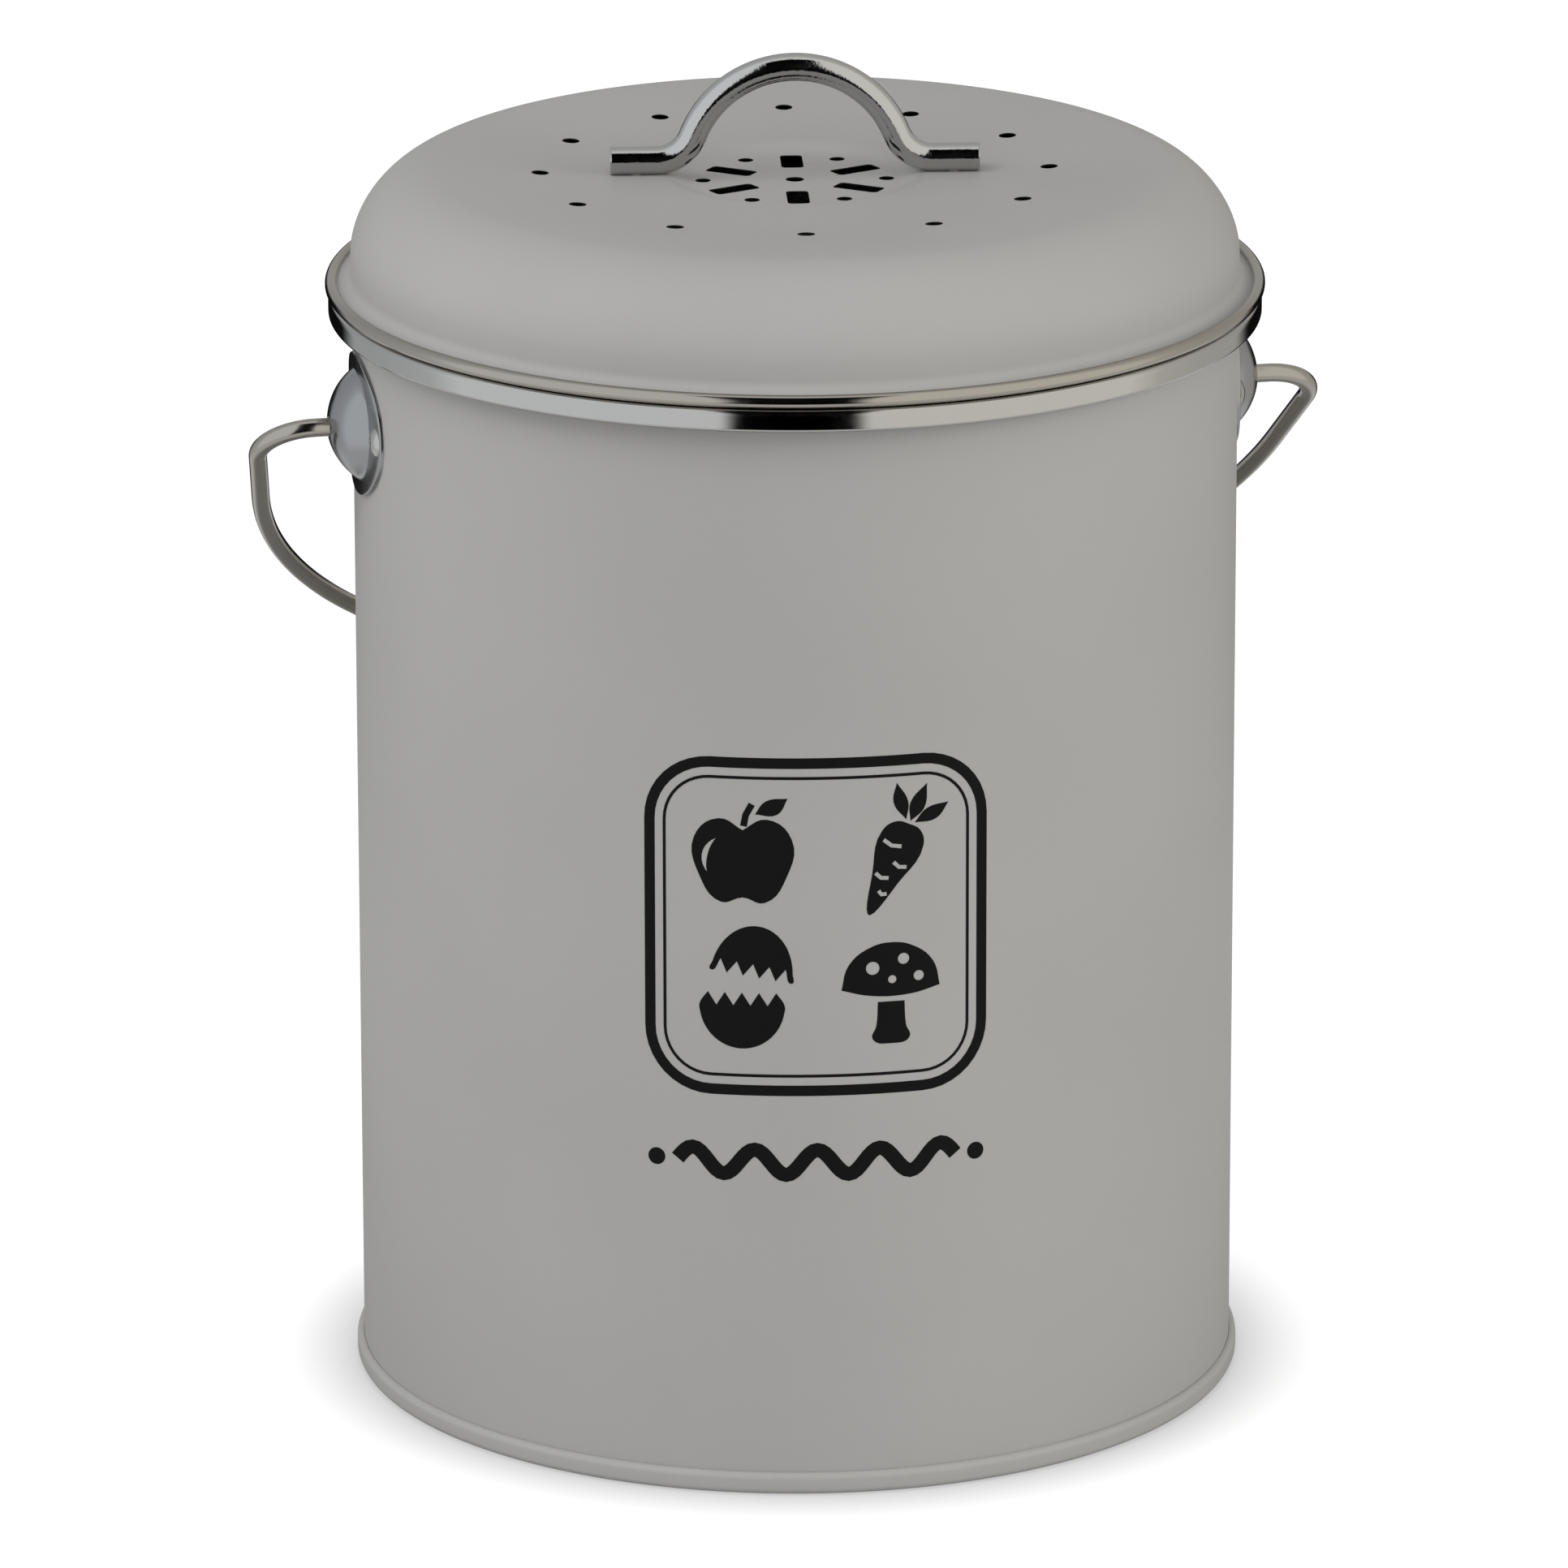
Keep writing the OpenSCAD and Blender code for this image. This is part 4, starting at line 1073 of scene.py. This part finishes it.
def make_world():
    """White to the camera, one broad soft front light for the paint, and the studio room for the metal."""
    world = bpy.data.worlds.new("studio")
    bpy.context.scene.world = world
    world.use_nodes = True
    tree = world.node_tree
    tree.nodes.clear()
    ray = add(tree, "ShaderNodeLightPath")
    direction = add(tree, "ShaderNodeTexCoord").outputs["Generated"]
    turned = add(
        tree, "ShaderNodeVectorRotate", {"rotation_type": "Z_AXIS", "Angle": CAMERA_TURN},
        {"Vector": direction})
    x, y, z = add(tree, "ShaderNodeSeparateXYZ", links={0: turned.outputs[0]}).outputs
    for_metal = studio_light(tree, x, y, z)
    # Full from the front, least at the sides, with a weak fill from behind
    front = add(tree, "ShaderNodeMath", {"operation": "MULTIPLY_ADD", 1: -1.04, 2: 0.14}, {0: y}).outputs[0]
    back = add(tree, "ShaderNodeMath", {"operation": "MULTIPLY_ADD", 1: 0.36, 2: 0.14}, {0: y}).outputs[0]
    stronger = add(tree, "ShaderNodeMath", {"operation": "MAXIMUM"}, {0: front, 1: back})
    for_paint = add(
        tree, "ShaderNodeBackground", {"Color": linear("#ffffff")}, {"Strength": stronger.outputs[0]})
    for_camera = add(tree, "ShaderNodeBackground", {"Color": linear("#ffffff"), "Strength": 1.0})
    lit = add(
        tree, "ShaderNodeMixShader",
        links={0: ray.outputs["Is Glossy Ray"], 1: for_paint.outputs[0], 2: for_metal.outputs[0]})
    seen = add(
        tree, "ShaderNodeMath", {"operation": "MAXIMUM"},
        {0: ray.outputs["Is Camera Ray"], 1: ray.outputs["Is Transmission Ray"]})
    both = add(
        tree, "ShaderNodeMixShader", links={0: seen.outputs[0], 1: lit.outputs[0], 2: for_camera.outputs[0]})
    add(tree, "ShaderNodeOutputWorld", links={"Surface": both.outputs[0]})


def white_paper():
    """A seamless sheet of white paper: matt, and brightened for camera and mirror rays only, so that it reads
    white round the caddy's soft contact shadow and puts no more light on the caddy. That contact shadow is
    painted: ambient occlusion darkens the sheet's colour near the foot."""
    material, tree, place = new_material("white_paper_sweep")
    ray = add(tree, "ShaderNodeLightPath")
    paper = add(tree, "ShaderNodeBsdfDiffuse", {"Color": linear("#cccccc")})
    # Painted contact shadow: ambient occlusion within 20 mm of the foot bead darkens the sheet's colour
    contact = add(tree, "ShaderNodeAmbientOcclusion", {"samples": 16, "Distance": 20 * MM})
    tone = add(
        tree, "ShaderNodeMapRange", {"From Min": 0.5, "From Max": 1.0, "To Min": 0.5, "To Max": 0.88},
        {"Value": contact.outputs["AO"]}).outputs["Result"]
    shadowed = add(tree, "ShaderNodeBsdfDiffuse", links={"Color": tone})
    glow = add(tree, "ShaderNodeEmission", {"Strength": 1.42}, {"Color": tone})
    lifted = add(tree, "ShaderNodeMixShader", {0: 0.7}, {1: shadowed.outputs[0], 2: glow.outputs[0]})
    # Metal mirrors the sheet close by as a glow for mirror rays only, with a painted shade round a spot
    # behind the caddy, where its own shade lies
    from_shade = add(tree, "ShaderNodeVectorMath", {"operation": "DISTANCE", 1: (0, 0.08, 0)}, {0: place})
    spot = {"From Min": 0.13, "From Max": 0.24, "To Min": 0.32, "To Max": 0.85}
    shaded = add(
        tree, "ShaderNodeMapRange", {"interpolation_type": "SMOOTHSTEP", **spot},
        {"Value": from_shade.outputs["Value"]}).outputs["Result"]
    mirrored_paper = add(tree, "ShaderNodeEmission", links={"Color": tone, "Strength": shaded})
    # Past the sheet's edge it mirrors the studio room
    away = add(tree, "ShaderNodeVectorMath", {"operation": "LENGTH"}, {0: place})
    past_edge = add(
        tree, "ShaderNodeMapRange", {"interpolation_type": "SMOOTHSTEP", "From Min": 0.3, "From Max": 0.5},
        {"Value": away.outputs["Value"]})
    nothing = add(tree, "ShaderNodeBsdfTransparent")
    mirrored = add(
        tree, "ShaderNodeMixShader",
        links={0: past_edge.outputs["Result"], 1: mirrored_paper.outputs[0], 2: nothing.outputs[0]})
    for_light = add(
        tree, "ShaderNodeMixShader",
        links={0: ray.outputs["Is Glossy Ray"], 1: paper.outputs[0], 2: mirrored.outputs[0]})
    shader = add(
        tree, "ShaderNodeMixShader",
        links={0: ray.outputs["Is Camera Ray"], 1: for_light.outputs[0], 2: lifted.outputs[0]})
    add(tree, "ShaderNodeOutputMaterial", links={"Surface": shader.outputs[0]})
    return material


def make_floor():
    """One flat sheet that the caddy stands on."""
    half = FLOOR_HALF_W
    corners = [(-half, -half, 0), (half, -half, 0), (half, half, 0), (-half, half, 0)]
    floor = new_object("studio_floor", new_mesh("studio_floor", (corners, [(0, 1, 2, 3)])))
    # A hair below the foot, so that the two faces don't fight
    floor.location.z = -0.05 * MM
    floor.data.materials.append(white_paper())


def make_softbox(name, place, watts, hex_colour="#ffffff"):
    """A square softbox aimed at the caddy. Metal doesn't mirror it, because it mirrors the studio room."""
    lamp = bpy.data.lights.new(name, "AREA")
    lamp.energy = watts
    lamp.color = linear(hex_colour)[:3]
    lamp.shape = "RECTANGLE"
    lamp.size = SOFTBOX_W
    lamp.size_y = SOFTBOX_W
    softbox = new_object(name, lamp)
    location = Matrix.Rotation(-CAMERA_TURN, 4, "Z") @ Vector(place)
    softbox.location = location
    softbox.rotation_euler = (LAMP_AIM - location).to_track_quat("-Z", "Y").to_euler()
    softbox.visible_glossy = False
    softbox.visible_camera = False


def make_lamps():
    """Two softboxes above and in front, and one on each side, the warmer and stronger on the right."""
    make_softbox("upper_left_softbox", (-1.11, -0.64, 1.66), 12)
    make_softbox("upper_front_softbox", (0, -1.29, 1.66), 4)
    make_softbox("left_softbox", (-1.9, 0.33, 0.65), 7.5)
    make_softbox("right_softbox", (1.87, -0.5, 0.65), 14.5, "#fffdf8")


def make_camera():
    """A long lens from the front, slightly above, as the caddy is seen on a worktop."""
    camera = bpy.data.cameras.new("camera")
    camera.sensor_width = 36
    camera.lens = CAMERA_LENS_MM
    camera.shift_x = CAMERA_SHIFT
    camera.clip_end = 30
    holder = new_object("camera", camera)
    turned = Matrix.Rotation(-CAMERA_TURN, 4, "Z")
    holder.location = turned @ Vector((0, -CAMERA_DISTANCE, CAMERA_HEIGHT))
    aim = turned @ Matrix.Rotation(pi / 2 - CAMERA_DOWN, 4, "X")
    holder.rotation_euler = (aim @ Matrix.Rotation(CAMERA_ROLL, 4, "Z")).to_euler()
    bpy.context.scene.camera = holder


# ---------------------------------------------------------------- build
make_camera()

paint = powder_coat()
# Near black for the walls of the lid's vents: painted shade
shade_in_vents = painted_vent_shade()
ink = printed_ink()
felt = carbon_felt()
# Polished like a mirror: hard black and white reflections with crisp edges
bright = steel("mirror_polished_stainless_steel", "#b5b4b1", (0.05, 0.1), ripple_mm=2.2, depth_mm=0.002)
# Drawing the dome hazes the polish: darker, and its reflections melt into soft gradients
pressed = steel("bright_pressed_stainless_steel", "#9c9d9e", (0.16, 0.22), ripple_mm=2.2, depth_mm=0.004)
# Rolling warms and dulls the edge a little, so that its lines are bright but not sharp
rolled = steel("rolled_stainless_edge", "#a8a39b", (0.08, 0.14), ripple_mm=2.2, depth_mm=0.003)
# Chromium plated on drawn rod: bright, with grainy edges to its dark reflections
rod_steel = steel("bright_chromed_rod", "#bcbcba", (0.05, 0.12), ripple_mm=0.7, depth_mm=0.03)
# Drawn wire: a warm grey satin with one soft highlight along it
satin = steel("satin_drawn_steel_wire", "#aaa69e", (0.12, 0.2), ripple_mm=2.2, depth_mm=0.006)
# Natural polypropylene: a milky, slightly waxy off-white
liner = plastic("moulded_polypropylene_liner", "#d9d7cf", "#e2e0d9", rough=0.45, grain_mm=0.5)
# Black ABS: a flat near-black with a fine grey sheen
black = plastic("moulded_black_abs", "#1a1a1b", "#222324", rough=0.5, grain_mm=0.3)

make_wall(paint)
make_wall_seam(paint)
make_base(paint)
make_body_rim(bright)
for side in (-1, 1):
    make_ear(side, pressed)
    for front in (True, False):
        make_rivet(side, front, bright)
make_bucket(liner)
make_bail(satin)
make_lid(paint, shade_in_vents)
make_lid_rim(rolled)
make_lid_handle(rod_steel)
make_collar(bright)
make_filter_ring(black)
make_filter_pad(felt)
make_print(ink)

# CAD nodes whose own shape is right keep it, and get a finish
for node, finish in (("left_handle_screw", bright), ("right_handle_screw", bright), ("filter_basket", black)):
    dress(frame["nodes"][node], finish, 30)

make_world()
make_floor()
make_lamps()
bpy.context.scene.view_settings.view_transform = "Standard"
